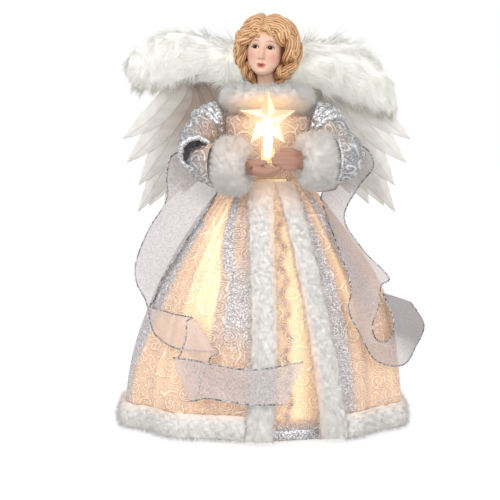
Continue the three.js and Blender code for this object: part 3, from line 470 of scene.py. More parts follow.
behind = 0.45 * ramp(np.abs(degrees) - 88, 20)
# The glow is painted lighter and darker across the pleats: painted light and shade of the folds
pleat_shade = 1 + 0.16 * np.cos(waist_pleats * angle + 3 * drop) * (1 - drop) + 0.07 * np.cos(31 * angle + 2)
lit = pleat_shade * np.maximum.reduce([
    (0.62 + hot) * gore, 0.46 * strip, 0.52 * border, (0.55 + low_lamp) * below, right, behind])
robe = new_piece(
    "robe_cloth", points, band_faces(*points.shape[:2]), skirt_brocade,
    slot="robe_brocade", lit=lit, across=across, along=along)
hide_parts("robe")


# Plush edging: white long-pile plush sewn into rolls, down both front edges of the robe and round its hem.
# Its backing is padded; the pile is thousands of fine hairs that part in clumps, tinted by lamps beside it.
# A real hair is about a tenth as wide: each of these stands for a lock of them, so that it shows.
fur_thickness, fur_out = 0.014, 0.0058
hem_fur_height, hem_fur_tuck = 0.026, 0.003
# Share of a roll's thickness that is backing, how deep it sinks in, and how far up the front rolls start
front_backing, front_sink, front_rise = 0.66, 0.001, 0.003
hem_backing, hem_sink, hem_rows, hem_around = 0.6, 0.0015, 300, 24
cloth_seat = 0.0004
clump_size, clump_swell, clump_lean, stray_lean = 0.007, 0.07, 0.3, 0.22
pile_width, root_depth, floor_gap = 0.00045, 0.0005, 0.0003

white_plush = new_material("white_plush", Roughness=0.85, IOR=1.45, Emission_Strength=0.2)
place = add_node(white_plush, "TexCoord", "Object", {})
tufts = add_node(white_plush, "TexNoise", "Fac", {"Vector": place, "Scale": 1 / clump_size, "Detail": 3.0})
pile_tone = add_node(white_plush, "MixRGB", "Color", {
    "Fac": tufts, "Color1": "#D6D4CF", "Color2": "#EEEBE7"})
warm = add_node(white_plush, "Attribute", "Fac", {}, attribute_name="warm")
lamp_tint = add_node(white_plush, "MixRGB", "Color", {
    "Fac": warm, "Color1": "#EDC2B6", "Color2": "#FFE0B4"})
tinted = add_node(white_plush, "MixRGB", "Color", {"Fac": warm, "Color1": pile_tone, "Color2": lamp_tint})
# Painted glow: the plush glows faintly grey all over, a painted light that brightens it, and warm where lamp
# light tints it
glow = add_node(white_plush, "MixRGB", "Color", {
    "Fac": warm, "Color1": "#B9B9B6", "Color2": (1.75, 1.28, 0.92, 1)})
feed(white_plush, {"Base Color": tinted, "Emission Color": glow})


def unit(vectors):
    """Vectors scaled to length 1."""
    return vectors / np.maximum(np.linalg.norm(vectors, axis=-1, keepdims=True), 1e-12)


def ripple(points, size, seed):
    """A smooth uneven field from about -1 to 1: the mean of eight sines along seeded ways, of that size."""
    draw = np.random.default_rng(seed)
    ways = unit(draw.normal(size=(8, 3))) * draw.uniform(0.6, 1.6, (8, 1)) * 2 * np.pi / size
    return np.sin(points @ ways.T + draw.uniform(0, 2 * np.pi, 8)).mean(axis=-1) * 1.8


def ripples(points, size, seed):
    """Three ripples, of the next three seeds, as a field of directions."""
    return np.stack([ripple(points, size, seed + k) for k in (1, 2, 3)], axis=-1)


def tube(rings):
    """A closed tube through rings of points: triangles between the rings, and a fan over each end."""
    count, around = rings.shape[:2]
    ends = rings[[0, -1]].mean(axis=1)
    first, last = count * around, count * around + 1
    here = np.arange(around)
    beside = (here + 1) % around
    top = (count - 1) * around
    fans = [np.stack([beside, here, np.full(around, first)], -1),
            np.stack([top + here, top + beside, np.full(around, last)], -1)]
    points = np.concatenate([rings.reshape(-1, 3), ends])
    return points, facing_out(points, np.concatenate([band_faces(count, around, True), *fans]))


def ring_tube(rings):
    """A tube whose last ring joins the first, so that it has no ends."""
    count, around = rings.shape[:2]
    points = rings.reshape(-1, 3)
    return points, facing_out(points, band_faces(count + 1, around, True) % (count * around))


def facing_out(points, faces):
    """Turns the triangles of a closed surface round if its volume, a sum of triple products, is below 0."""
    a, b, c = (points[faces[:, k]] for k in range(3))
    return faces if np.einsum("ij,ij->", a, np.cross(b, c)) > 0 else faces[:, ::-1]


def scatter(grid, count, draw):
    """Points spread over a grid's cells in proportion to area, with the way out of the surface at each."""
    a, b, c, d = grid[:-1, :-1], grid[:-1, 1:], grid[1:, 1:], grid[1:, :-1]
    square = np.cross(c - a, d - b).reshape(-1, 3)
    area = np.linalg.norm(square, axis=1)
    cell = draw.choice(len(area), count, p=area / area.sum())
    u, v = draw.random((2, count, 1))
    corners = [corner.reshape(-1, 3)[cell] for corner in (a, b, c, d)]
    points = (corners[0] * (1 - u) + corners[1] * u) * (1 - v) + (corners[3] * (1 - u) + corners[2] * u) * v
    middles = np.broadcast_to(((a + d) / 2).mean(axis=1)[:, None], a.shape).reshape(-1, 3)[cell]
    ways = unit(square[cell])
    return points, ways * np.sign(np.einsum("ij,ij->i", ways, points - middles))[:, None]


def strands(roots, ways, bends, lengths, width, draw, joints):
    """Hairs as three-sided spikes: rings from the root up, and a point at the tip.
    The middle line is root + length * (way * t + bend * t ** 2); each ring is narrower by 0.6 / joints."""
    aside = unit(np.cross(ways, draw.normal(size=ways.shape)))
    corner = turns(3)[:, None]
    ring = np.cos(corner) * aside[:, None] + np.sin(corner) * np.cross(ways, aside)[:, None]
    reach = lengths[:, None]
    line_at = [roots + reach * (ways * t + bends * t ** 2) for t in np.linspace(0, 1, joints + 1)]
    rings = [middle[:, None] + width / 2 * (1 - 0.6 * k / joints) * ring
             for k, middle in enumerate(line_at[:-1])]
    points = np.concatenate([*rings, line_at[-1][:, None]], axis=1)
    side = np.arange(3)
    tip = np.stack([side, (side + 1) % 3, np.full(3, 3)], -1) + 3 * (joints - 1)
    shape = np.concatenate([band_faces(joints, 3, True), tip])
    faces = (shape[None] + points.shape[1] * np.arange(len(roots))[:, None, None]).reshape(-1, 3)
    return points, faces


def plush(name, grid, node, warm_at, count, length, comb, seed, ring=False):
    """A padded plush roll over a grid of sections, and its pile of hairs rooted all over it.
    Clumps come from a ripple that swells the roll and leans neighbouring hairs the same way."""
    draw = np.random.default_rng(seed)
    centre = grid.mean(axis=1, keepdims=True)
    swell = 1 + clump_swell * ripple(grid, 2 * clump_size, seed)[..., None]
    body = centre + (grid - centre) * swell
    closed = np.concatenate([body, body[:, :1]], axis=1)
    if ring:
        closed = np.concatenate([closed, closed[:1]])
    points, faces = ring_tube(body) if ring else tube(body)
    roll = new_piece(name, points, faces, white_plush, slot="white_plush", warm=warm_at(points))
    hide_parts(node)
    roots, out = scatter(closed, count, draw)
    lean = ripples(roots, clump_size, seed)
    ways = unit(out + clump_lean * lean + draw.normal(size=out.shape) * stray_lean)
    bends = 0.4 * np.array(comb) + 0.2 * lean + draw.normal(size=out.shape) * 0.1
    lengths = length * draw.uniform(0.7, 1.15, count)
    points, faces = strands(roots - root_depth * ways, ways, bends, lengths, pile_width, draw, joints=1)
    points[..., 2] = np.maximum(points[..., 2], floor_gap)
    new_piece(
        name + "_pile", points, faces, white_plush, slot="white_plush",
        normals=np.repeat(out, points.shape[1], axis=0), warm=warm_at(roots)[:, None])


def front_roll(strip, rows=150, around=28):
    """The backing of a front plush strip: an oval on the robe, narrower and thinner than the pile."""
    height = np.linspace(fur_low + front_rise, fur_high + front_rise, rows)[:, None]
    a = turns(around)[None, :]
    angle = fur_angle(height, strip) + 0.94 * fur_half_angle(height, strip) * np.cos(a)
    out = fur_out - front_sink + front_backing * fur_thickness / 2 * np.sin(a)
    return skirt(angle, height, out, robe_waist_lift, robe_hem_lift, robe_fold)


def warm_beside(strip, side_warmth):
    """How much lamp light tints a front strip: more at each edge, by its share, and less near the hem."""
    def warm(points):
        angle = np.arctan2(points[:, 0] - hem_sway, -points[:, 1] * hem_half_width / hem_front_depth)
        off = (angle - fur_angle(points[:, 2], strip)) / fur_half_angle(points[:, 2], strip)
        edge = ramp(np.abs(off) - 0.55, 0.5)
        beside = edge * np.where(off < 0, *side_warmth) * np.clip(points[:, 2] / 0.06, 0.25, 1)
        return np.maximum(beside, 0.5 * bump(points[:, 2], waist_height, 0.025))
    return warm


for side, strip, side_warmth, seed in [
        ("left", left_fur, (0.35, 0.6), 11), ("right", right_fur, (0.65, 0.2), 12)]:
    plush(f"robe_front_plush_{side}", front_roll(strip), f"robe_front_fur_{side}",
          warm_beside(strip, side_warmth), count=18000, length=0.0045, comb=(0, 0, -1), seed=seed)

a = turns(hem_around)[None, :]
height = hem_height + hem_fur_height * (0.5 + 0.42 * np.cos(a))
beside = fur_half_angle(height, right_fur) + cloth_seat / hem_half_width
start = fur_angle(height, right_fur) + beside
end = 2 * np.pi + fur_angle(height, left_fur) - beside
angle = start + (end - start) * np.linspace(0, 1, hem_rows)[:, None]
out = fur_out - hem_fur_tuck - hem_sink + hem_backing * fur_thickness / 2 * np.sin(a)
hem_roll = skirt(angle, height, out, robe_waist_lift, robe_hem_lift, robe_fold)
plush("robe_hem_plush", hem_roll, "robe_hem_fur",
      lambda points: 0.55 * ramp(points[:, 2] - 0.019, 0.01),
      count=21000, length=0.0055, comb=(0, 0, -0.6), seed=13)


# Bodice: the same brocade in silver, stretched over the torso and lit from in front by the star.
# Its scrolls show best beside the star, where the light rakes across them.
star_place = np.array([0.0, -0.062, 0.2889])
bodice_rows, bodice_columns = 60, 240
# Height, half-width and half-depth of the bodice, from the waist to the yoke
bodice_sections = np.array([
    [0.234, 0.0312, 0.0272], [0.255, 0.0358, 0.0288], [0.275, 0.0418, 0.0308], [0.288, 0.0438, 0.0278],
    [0.294, 0.0348, 0.0218]])


def through(points, count):
    """A smooth curve through points: centripetal Catmull-Rom, with knots at the root of each distance."""
    p = np.asarray(points, dtype=float)
    p = np.concatenate([[2 * p[0] - p[1]], p, [2 * p[-1] - p[-2]]])
    place = np.linspace(0, len(p) - 3, count)
    k = np.minimum(place.astype(int), len(p) - 4)
    a, b, c, d = (p[k + j] for j in range(4))
    gaps = [np.sqrt(np.linalg.norm(far - near, axis=1, keepdims=True)) + 1e-9
            for near, far in ((a, b), (b, c), (c, d))]
    t1, t2, t3 = gaps[0], gaps[0] + gaps[1], gaps[0] + gaps[1] + gaps[2]
    t = t1 + (place - k)[:, None] * gaps[1]
    ab, bc, cd = (t1 - t) / t1 * a + t / t1 * b, mixed(b, c, t1, t2, t), mixed(c, d, t2, t3, t)
    return mixed(mixed(ab, bc, 0, t2, t), mixed(bc, cd, t1, t3, t), t1, t2, t)


def mixed(near, far, start, end, t):
    """A straight mix that is near at start and far at end."""
    return ((end - t) * near + (t - start) * far) / (end - start)


def star_light(points, reach):
    """How strongly the star lights a point: exp(-(distance / reach) ** 2)."""
    return np.exp(-(np.linalg.norm(points - star_place, axis=-1) / reach) ** 2)


silver_brocade = brocade(
    "silver_thread_brocade", "#66666A", "#A9A9AC", "#CFA27A", "#ECCBA6",
    repeat=0.014, glitter=0.4, crest_highlight=0.6)
sections = through(bodice_sections, bodice_rows)
angle = turns(bodice_columns)[None, :]
points = spread(sections[:, 1:2] * np.sin(angle), -sections[:, 2:] * np.cos(angle), sections[:, :1])
lit = np.clip(1.5 * star_light(points, 0.05) + 0.3 * bump(points[..., 2], 0.235, 0.015), 0, 0.85)
bodice = new_piece(
    "bodice_cloth", points, band_faces(*points.shape[:2], closed=True), silver_brocade,
    slot="silver_brocade", lit=lit, across=0.04 * angle, along=sections[:, :1])
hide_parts("bodice")


# Head: a resin casting of face, neck and wavy hair, painted by hand in satin paint.
# The face is a doll's: dark eyes, fine brows, a small red mouth and sprayed blush on both cheeks.
head_place = np.array([-0.0021, -0.0125, 0.3545])
head_yaw, head_roll = math.radians(-9), math.radians(5)
face_rows, face_columns, back_depth = 240, 260, 0.011
neck_rows, neck_around = 30, 48
eye_aside, eye_length, eye_rise, lid_height = 0.0072, 0.0035, 0.0001, 0.0017
mouth_drop, mouth_half_width = 0.0157, 0.0044
skin_tone, blush_tone, lip_tone = "#E5C0AA", "#D98C86", "#CB7266"


def turned_head(points):
    """Face points, from the middle between the eyes, rolled, turned to one side and put in their place."""
    roll = np.array([[math.cos(head_roll), 0, math.sin(head_roll)], [0, 1, 0],
                     [-math.sin(head_roll), 0, math.cos(head_roll)]])
    yaw = np.array([[math.cos(head_yaw), -math.sin(head_yaw), 0],
                    [math.sin(head_yaw), math.cos(head_yaw), 0], [0, 0, 1]])
    return points @ (yaw @ roll).T + head_place


def painted(colours, tone, mask):
    """Paint of one tone laid over the colours, as thick as the mask says."""
    return colours + (np.array(linear(tone)) - colours) * np.clip(mask, 0, 1)[..., None]


# Height from the eyes, half-width and front depth of the face, from under the chin to the crown
face_outline = np.array([
    [-0.0257, 0.0010, 0.0020], [-0.0251, 0.0044, 0.0105], [-0.0230, 0.0078, 0.0150],
    [-0.0198, 0.0110, 0.0162], [-0.0150, 0.0142, 0.0166], [-0.0080, 0.0158, 0.0170],
    [0.0000, 0.0160, 0.0170], [0.0070, 0.0157, 0.0166], [0.0130, 0.0148, 0.0148],
    [0.0190, 0.0115, 0.0100], [0.0230, 0.0080, 0.0060], [0.0250, 0.0010, 0.0010]])
outline = through(face_outline, face_rows)
level, half_width, front = outline[:, :1], outline[:, 1:2], outline[:, 2:]
alpha = np.linspace(-np.pi, np.pi, face_columns, endpoint=False)[None, :]
x = half_width * np.sin(alpha)
y = -np.where(np.cos(alpha) > 0, front, back_depth) * np.cos(alpha)
aside = np.abs(x)
hand = np.sign(x)


def dab(at_x, at_z, wide, tall, high=1.0):
    """A soft swelling of the face, the same on both sides: a bump aside times a bump up, of that height."""
    return high * np.exp(-((aside - at_x) / wide) ** 2 - ((level - at_z) / tall) ** 2)


# The nose stands out more towards its tip, and widens there
nose_out = 0.0012 + 0.0046 * ramp(0.003 - level, 0.0112)
nose_half_width = 0.0016 + 0.0008 * ramp(-level, 0.009)
nose = (nose_out * bump(aside, 0, nose_half_width)
        * ramp(level + 0.0108, 0.0014) * ramp(0.005 - level, 0.004))
# Eye sockets and eyeballs, brows and forehead; then the nose, its tip and its wings, the lips and the line
# between them, the corners of the mouth, the dip above the chin and the chin, the cheeks and the temples
relief = sum([
    dab(eye_aside, 0.0002, 0.0046, 0.0030, -0.0018), dab(eye_aside, -0.0003, 0.0027, 0.0017, 0.0012),
    dab(0.0065, 0.0050, 0.0060, 0.0020, 0.0006), dab(0.0, 0.0105, 0.0090, 0.0060, 0.0008), nose,
    dab(0.0, -0.0082, 0.0021, 0.0019, 0.0013), dab(0.0025, -0.0091, 0.0013, 0.0012, 0.0014),
    dab(0.0, -0.0146, 0.0034, 0.0011, 0.0014), dab(0.0, -0.0172, 0.0030, 0.0013, 0.0016),
    dab(0.0, -mouth_drop, 0.0040, 0.0005, -0.0012), dab(0.0046, -mouth_drop, 0.0012, 0.0012, -0.0005),
    dab(0.0, -0.0192, 0.0040, 0.0012, -0.0008), dab(0.0, -0.0218, 0.0038, 0.0024, 0.0016),
    dab(0.0090, -0.0085, 0.0050, 0.0050, 0.0010), dab(0.0150, -0.0050, 0.0020, 0.0045, 0.0012)])
face_points = spread(x, y - relief * np.clip(np.cos(alpha), 0, 1), level)

eye_x = (aside - eye_aside) / eye_length
eye_z = level - eye_rise
lid = lid_height * (1 - eye_x ** 2)
inside_eye = ramp(lid - eye_z, 0.00025) * ramp(eye_z + 0.75 * lid, 0.00025) * (np.abs(eye_x) < 1)
iris = np.hypot(x + 0.0003 - hand * eye_aside, eye_z - 0.0001)
spark = np.hypot(x + 0.0009 - hand * eye_aside, eye_z - 0.0008)
lash = bump(eye_z, lid + 0.0002, 0.0006) * (np.abs(eye_x) < 1.12)
crease_shade = bump(eye_z, lid + 0.0013, 0.0005) * (np.abs(eye_x) < 1.1)
under_lash = bump(eye_z, -0.75 * lid - 0.0002, 0.00025) * (np.abs(eye_x) < 1.0)
brow_line = 0.0052 + 0.0012 * (1 - ((aside - 0.0066) / 0.0045) ** 2)
brow = bump(level, brow_line, 0.0008) * bump(aside, 0.0070, 0.0042)
cupid = 0.0021 - 0.0006 * bump(aside, 0.0, 0.0008) - 0.0012 * (aside / 0.0047) ** 2
upper_lip = ramp(level + mouth_drop, 0.0003) * ramp(cupid - level - mouth_drop, 0.0004)
lower_edge = 0.0029 * np.sqrt(np.clip(1 - (aside / mouth_half_width) ** 2, 0, 1))
lower_lip = ramp(-(level + mouth_drop), 0.0003) * ramp(level + mouth_drop + lower_edge, 0.0005)
lips = (upper_lip + 0.85 * lower_lip) * ramp(mouth_half_width - aside, 0.0008)
mouth_line = bump(level, -mouth_drop - 0.0003, 0.0010) * bump(aside, 0, 0.0026)
# Painted shade beside the nose, at the sides of the jaw and under the hair
nose_shadow = bump(x, 0.0026, 0.0013) * between(level, -0.0092, 0.001, 0.004)
jaw_shade = ramp(np.abs(np.sin(alpha)) - 0.72, 0.28)
hair_shadow = ramp(level - 0.007, 0.008)
colours = np.broadcast_to(np.array(linear(skin_tone)), face_points.shape[:2] + (4,))
# Coats in the order in which they are laid: cheeks, lids, painted shade in the nostrils; whites, irises,
# pupils and painted highlights of the eyes; lashes, painted shade in the lid creases, and brows; lips and
# the line between them;
# then painted shade on one side of the nose and at the sides of the jaw, and a painted shadow under the hair
for tone, mask in [
        (blush_tone, 0.55 * dab(0.0095, -0.0080, 0.0050, 0.0045)),
        ("#B98468", 0.6 * dab(eye_aside, 0.0026, 0.0042, 0.0014)),
        ("#A96F55", 0.75 * dab(0.0017, -0.0102, 0.0010, 0.0005)),
        ("#D2CCC8", inside_eye),
        ("#1E1512", inside_eye * ramp(0.0023 - iris, 0.0003)),
        ("#060404", inside_eye * ramp(0.0015 - iris, 0.0003)),
        ("#FFFFFF", inside_eye * ramp(0.0003 - spark, 0.0002)),
        ("#2A1B15", lash), ("#8F7567", 0.5 * crease_shade), ("#8B6552", 0.6 * under_lash), ("#96654A", 0.8 * brow),
        (lip_tone, lips), ("#7A2420", 0.95 * mouth_line),
        ("#B57F63", 0.45 * nose_shadow), ("#C08D70", 0.42 * jaw_shade), ("#C9987E", 0.55 * hair_shadow)]:
    colours = painted(colours, tone, mask * np.clip(4 * np.cos(alpha), 0, 1))

# Place of the middle and radius of the neck, from inside the collar up to the jaw
neck_stops = np.array([
    [0.0, 0.0010, 0.2985, 0.0125], [0.0, 0.0, 0.3080, 0.0112], [-0.0003, -0.0018, 0.3180, 0.0098],
    [-0.0008, -0.0040, 0.3280, 0.0093], [-0.0012, -0.0065, 0.3380, 0.0098]])
neck = through(neck_stops, neck_rows)
turn = turns(neck_around)
neck_rings = spread(
    neck[:, :1] + neck[:, 3:] * np.sin(turn), neck[:, 1:2] - neck[:, 3:] * np.cos(turn), neck[:, 2:3])


def merged(*shapes):
    """Several shapes of points and triangles as one."""
    starts = np.cumsum([0] + [len(points) for points, _ in shapes])
    return (np.concatenate([points for points, _ in shapes]),
            np.concatenate([faces + start for (_, faces), start in zip(shapes, starts)]))


points, faces = merged(tube(turned_head(face_points)), tube(neck_rings))
paint = np.tile(linear(skin_tone), (len(points), 1))
paint[:face_rows * face_columns] = colours.reshape(-1, 4)

brush_mark = 0.002
painted_resin = new_material(
    "satin_painted_resin", Roughness=0.42, IOR=1.5, Specular_IOR_Level=0.15, Subsurface_Weight=0.08,
    Subsurface_Scale=0.002)
place = add_node(painted_resin, "TexCoord", "Object", {})
brushing = add_node(painted_resin, "TexNoise", "Fac", {
    "Vector": place, "Scale": 1 / brush_mark, "Detail": 3.0})
feed(painted_resin, {
    "Base Color": add_node(painted_resin, "Attribute", "Color", {}, attribute_name="paint"),
    "Roughness": add_node(painted_resin, "MapRange", "Result", {
        "Value": brushing, "To Min": 0.34, "To Max": 0.5})})
head = new_piece("head_face", points, faces, painted_resin, slot="painted_resin", paint=paint)
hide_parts("head")


# Hair: cast with the head as overlapping wavy locks from a middle parting, darker in the grooves and where
# locks meet, partly a wash and partly painted shade.
# Each lock is a ridged tube laid over the skull; its waves begin past the crown, with curled tips between.
hair_aside, hair_back = 0.0015, 0.0095
hair_middle = np.array([hair_aside, hair_back, 0.0])
lock_around, lock_steps = 27, 46
cap_low, cap_high, cap_rows, cap_around = -0.028, 0.0318, 50, 72
lock_wave, parting_half_length, layer_lift = 0.0024, 0.0240, 0.0018
fringe_size, curl_size, curl_turns, curl_out = 0.0024, 0.0026, 1.35, 0.0042
# Height from the eyes, half-width and half-depth of the hair, from the neck to the crown
hair_outline = np.array([
    [-0.034, 0.006, 0.010], [-0.028, 0.0120, 0.0140], [-0.021, 0.0180, 0.0195], [-0.012, 0.0236, 0.0235],
    [-0.004, 0.0262, 0.0250], [0.009, 0.0248, 0.0245],
    [0.021, 0.0190, 0.0190], [0.0275, 0.0115, 0.0120], [0.0315, 0.0010, 0.0010]])


def hair_half_sizes(height):
    """Half-width and half-depth of the hair at a height."""
    return (np.interp(height, hair_outline[:, 0], hair_outline[:, k]) for k in (1, 2))


def on_hair(height, around):
    """A point of the hair's outline, in the head's own frame: degrees round from the front at a height."""
    half_width, half_depth = hair_half_sizes(height)
    turn = math.radians(around)
    return np.array([
        hair_aside + half_width * math.sin(turn), hair_back - half_depth * math.cos(turn), height])


def rings_on(path, aside, up, wide, high, a):
    """Oval rings along a path: path + wide * cos(a) * aside + high * sin(a) * up."""
    return (path[:, None] + (wide * np.cos(a))[..., None] * aside[:, None]
            + (high * np.sin(a))[..., None] * up[:, None])


def lock(path, radius, seed):
    """One lock: rings of radius r * (1 + 0.14 * cos(8 * a + twist)) along a path, flattened to the skull.
    Its third part says how dark the wash and the painted shade make each point: darker in the grooves
    between ridges and at the lock's sides."""
    draw = np.random.default_rng(seed)
    along = unit(np.gradient(path, axis=0))
    out = unit(path - hair_middle)
    up = unit(out - along * np.einsum("ij,ij->i", out, along)[:, None])
    a = turns(lock_around)[None, :]
    twist = np.linspace(0, draw.uniform(-2, 2), len(path))[:, None] + draw.uniform(0, 6)
    ridge = np.cos(8 * a + twist)
    size = radius[:, None] * (1 + 0.14 * ridge)
    rings = rings_on(path, np.cross(along, up), up, 1.15 * size, 0.72 * size, a)
    low = np.clip(draw.uniform(0.36, 0.62) - 0.7 * ridge + 0.75 * (np.abs(np.cos(a)) - 0.55), 0, 1)
    points, faces = tube(turned_head(rings))
    return points, faces, np.concatenate([low.ravel(), [0.5, 0.5]])


def swept_lock(stops, size, waves, phase, seed):
    """A lock through stops that falls in waves: past the crown it circles by up to 1.3 * lock_wave."""
    t = np.linspace(0, 1, lock_steps)[:, None]
    path = through(stops, lock_steps)
    along = unit(np.gradient(path, axis=0))
    out = unit(path - hair_middle)
    wide = lock_wave * ramp(t - 0.22, 0.3) * np.random.default_rng(seed).uniform(0.8, 1.3)
    around = 2 * np.pi * waves * t + phase
    path = path + unit(np.cross(along, out)) * wide * np.sin(around) + out * 0.9 * wide * np.cos(around)
    t, around = t[:, 0], around[:, 0]
    taper = np.sqrt(np.clip(1.02 - t ** 5, 0.06, 1))
    return lock(path, size * np.minimum(1, 0.75 + 2 * t) * (1 + 0.16 * np.sin(around + 1)) * taper, seed)


def curl(middle, axis, reach, size, turns_made, phase, seed):
    """A curled tip: a flat spiral round an axis, its radius shrinking from reach to a third of it."""
    t = np.linspace(0, 1, lock_steps)[:, None]
    axis = unit(np.asarray(axis, dtype=float))
    first = unit(np.cross(axis, [0.3, 0.2, 1.0]))
    around = 2 * np.pi * turns_made * t + phase
    spoke = np.cos(around) * first + np.sin(around) * np.cross(axis, first)
    path = np.asarray(middle) + spoke * reach * (1 - 0.65 * t) + axis * 0.004 * (t - 0.5)
    t = t[:, 0]
    return lock(path, size * np.sqrt(np.clip(1.05 - t ** 4, 0.06, 1)) * np.minimum(1, 0.4 + 4 * t), seed)


# Number and radius of the locks in the under and the upper layer of each side
lock_layers = [(9, 0.0042), (11, 0.0036)]
# Degrees round from the front, and height of the tip, of the short locks over the forehead
fringe = [(18, 0.0105), (30, 0.0085)]
# Height, degrees round from the front and reach of the curled tips of each side
curled_tips = [
    (0.009, 74, 0.0054), (-0.003, 62, 0.0050), (-0.012, 84, 0.0058), (-0.020, 60, 0.0050),
    (0.003, 104, 0.0056), (-0.010, 122, 0.0056), (-0.022, 100, 0.0054), (0.006, 140, 0.0054),
    (-0.020, 142, 0.0056), (-0.006, 164, 0.0056), (-0.024, 168, 0.0052)]
locks = []
for side in (-1, 1):
    for layer, (count, size) in enumerate(lock_layers):
        for k in range(count):
            share = (k + 0.5 * layer) / count
            parting = math.radians(-57 + 120 * share)
            back = hair_back + parting_half_length * math.sin(parting)
            around = side * (50 + 126 * share)
            inwards = min(1, 2 * share)
            rise = 0.0245 * inwards + 0.0145 * (1 - inwards)
            aside = around + 13 * side * (1 - inwards)
            stops = np.array([
                [0.0004 * side - 0.0030, back, 0.0264 * math.cos(parting)],
                [0.0065 * side - 0.0010, back, 0.0282 * math.cos(parting)],
                on_hair(rise, around * (0.55 + 0.4 * inwards)),
                on_hair(0.006, around * (0.94 + 0.06 * inwards)),
                on_hair(-0.008, aside), on_hair(-0.021, aside), on_hair(-0.030 - 0.004 * (k % 2), aside)])
            lift = layer_lift * layer * unit(stops - hair_middle)
            waves, phase = 4.6 + 0.3 * math.sin(5 * k), 0.8 * k + 2 * side + 2.2 * layer
            locks.append(swept_lock(stops + lift, size, waves, phase, 100 + 17 * layer + k))
    for k, (around, low) in enumerate(fringe):
        stops = [
            [0.0008 - 0.0012 * side, -0.0125, 0.0190], on_hair(0.0175, side * 9) + [0, -0.003, 0],
            on_hair(0.0140, side * around) + [0, -0.0030, 0],
            on_hair(low, side * (around + 5)) + [0, -0.0028, 0]]
        locks.append(swept_lock(stops, fringe_size, 0.8, 1.1 * k, 140 + k))
    for k, (height, around, reach) in enumerate(curled_tips):
        way = on_hair(height, side * around) - [hair_aside, hair_back, height]
        middle = on_hair(height, side * around) + curl_out * min(1, (height + 0.026) / 0.014) * unit(way)
        locks.append(curl(middle, way, reach, curl_size, curl_turns, 1.3 * k + side, 180 + k))

# A plain cap under the locks closes the gaps between them, drawn in where the face is
cap_rise = np.linspace(cap_low, cap_high, cap_rows)[:, None]
cap_turn = turns(cap_around)[None, :]
cap_width, cap_depth = hair_half_sizes(cap_rise)
shrink = 0.97 - 0.45 * (ramp(np.cos(cap_turn) - 0.35, 0.3) * ramp(0.0125 - cap_rise, 0.004))
cap = tube(turned_head(spread(
    hair_aside + cap_width * shrink * np.sin(cap_turn),
    hair_back - cap_depth * shrink * np.cos(cap_turn), cap_rise)))
points, faces = merged(cap, *[(lock_points, lock_faces) for lock_points, lock_faces, _ in locks])
# The cap is painted darkest, as painted shade in the gaps between the locks
groove = np.concatenate([np.ones(len(cap[0]))] + [low for _, _, low in locks])

hair_paint = new_material("washed_and_shaded_hair_paint", Roughness=0.45, IOR=1.5)
deep = add_node(hair_paint, "Attribute", "Fac", {}, attribute_name="groove")
feed(hair_paint, {"Base Color": add_node(hair_paint, "MixRGB", "Color", {
    "Fac": deep, "Color1": "#EABF8E", "Color2": "#8A4E26"})})
new_piece("head_hair", points, faces, hair_paint, slot="painted_resin", groove=groove)


# Collar: a fat roll of the same plush, sewn round the neckline over the top of the bodice.
# The star just below lights it peach along its lower front.
collar_half_width, collar_half_depth = 0.031, 0.028
collar_roll_width, collar_roll_height, collar_height = 0.028, 0.026, 0.3085
collar_backing, collar_shade, collar_fade = 0.74, 0.3165, 0.011
collar_rows, roll_around = 120, 32
turn = turns(collar_rows)[:, None]
a = turns(roll_around)[None, :]
out = collar_backing * collar_roll_width / 2 * np.cos(a)
collar_roll = spread(
    (collar_half_width + out) * np.sin(turn), -(collar_half_depth + out) * np.cos(turn),
    collar_height + collar_backing * collar_roll_height / 2 * np.sin(a))


def star_warm(reach, most):
    """Tint of plush by the star's light, which the collar's own roundness keeps off above collar_shade."""
    def warm(points):
        below = ramp(collar_shade - points[:, 2], collar_fade)
        return np.clip(most * star_light(points, reach), 0, 1) * below
    return warm


plush("collar_plush", collar_roll, "collar", star_warm(reach=0.040, most=2.0),
      count=21000, length=0.0065, comb=(0, 0, -0.5), seed=21, ring=True)


# Sleeves: silver brocade, gathered into a crumpled puff at the shoulder and belled below the elbow.
# The left bell opens to the front and shows its dark inside, and a plainer inner sleeve runs to the cuff.
shoulder = np.array([0.0, 0.0, 0.288])
sleeve_steps, sleeve_around, sleeve_seat = 110, 96, 0.0005
crease_size, crease_depth = 0.014, 0.0017
crumple_size, crumple_depth, puff_depth = 0.006, 0.0006, 0.0012
crinkle_size, crinkle_share, foil_around = 0.005, 0.2, 12
# Place from the shoulders' middle, and radius, from the shoulder to the mouth
left_bell = np.array([
    [-0.045, 0.0, -0.001, 0.0150], [-0.052, -0.002, -0.003, 0.0158], [-0.061, -0.010, -0.011, 0.0162],
    [-0.067, -0.022, -0.021, 0.0158], [-0.067, -0.036, -0.028, 0.0150], [-0.0655, -0.049, -0.0305, 0.0150]])
left_inner = np.array([
    [-0.064, -0.030, -0.034, 0.0125], [-0.060, -0.040, -0.040, 0.0150], [-0.054, -0.047, -0.041, 0.0185],
    [-0.047, -0.050, -0.041, 0.0215]])
right_bell = np.array([
    [0.045, 0.0, -0.001, 0.0150], [0.052, -0.002, -0.003, 0.0158], [0.060, -0.009, -0.012, 0.0160],
    [0.069, -0.023, -0.025, 0.0172], [0.0715, -0.038, -0.033, 0.0190], [0.066, -0.049, -0.036, 0.0210],
    [0.059, -0.052, -0.036, 0.0222]])


def framed(path):
    """Ways along a path, and two ways square to it that stay level with the ground where they can."""
    along = unit(np.gradient(path, axis=0))
    aside = unit(np.cross(along, np.array([0.15, 0.2, 1.0])))
    return along, aside, np.cross(aside, along)


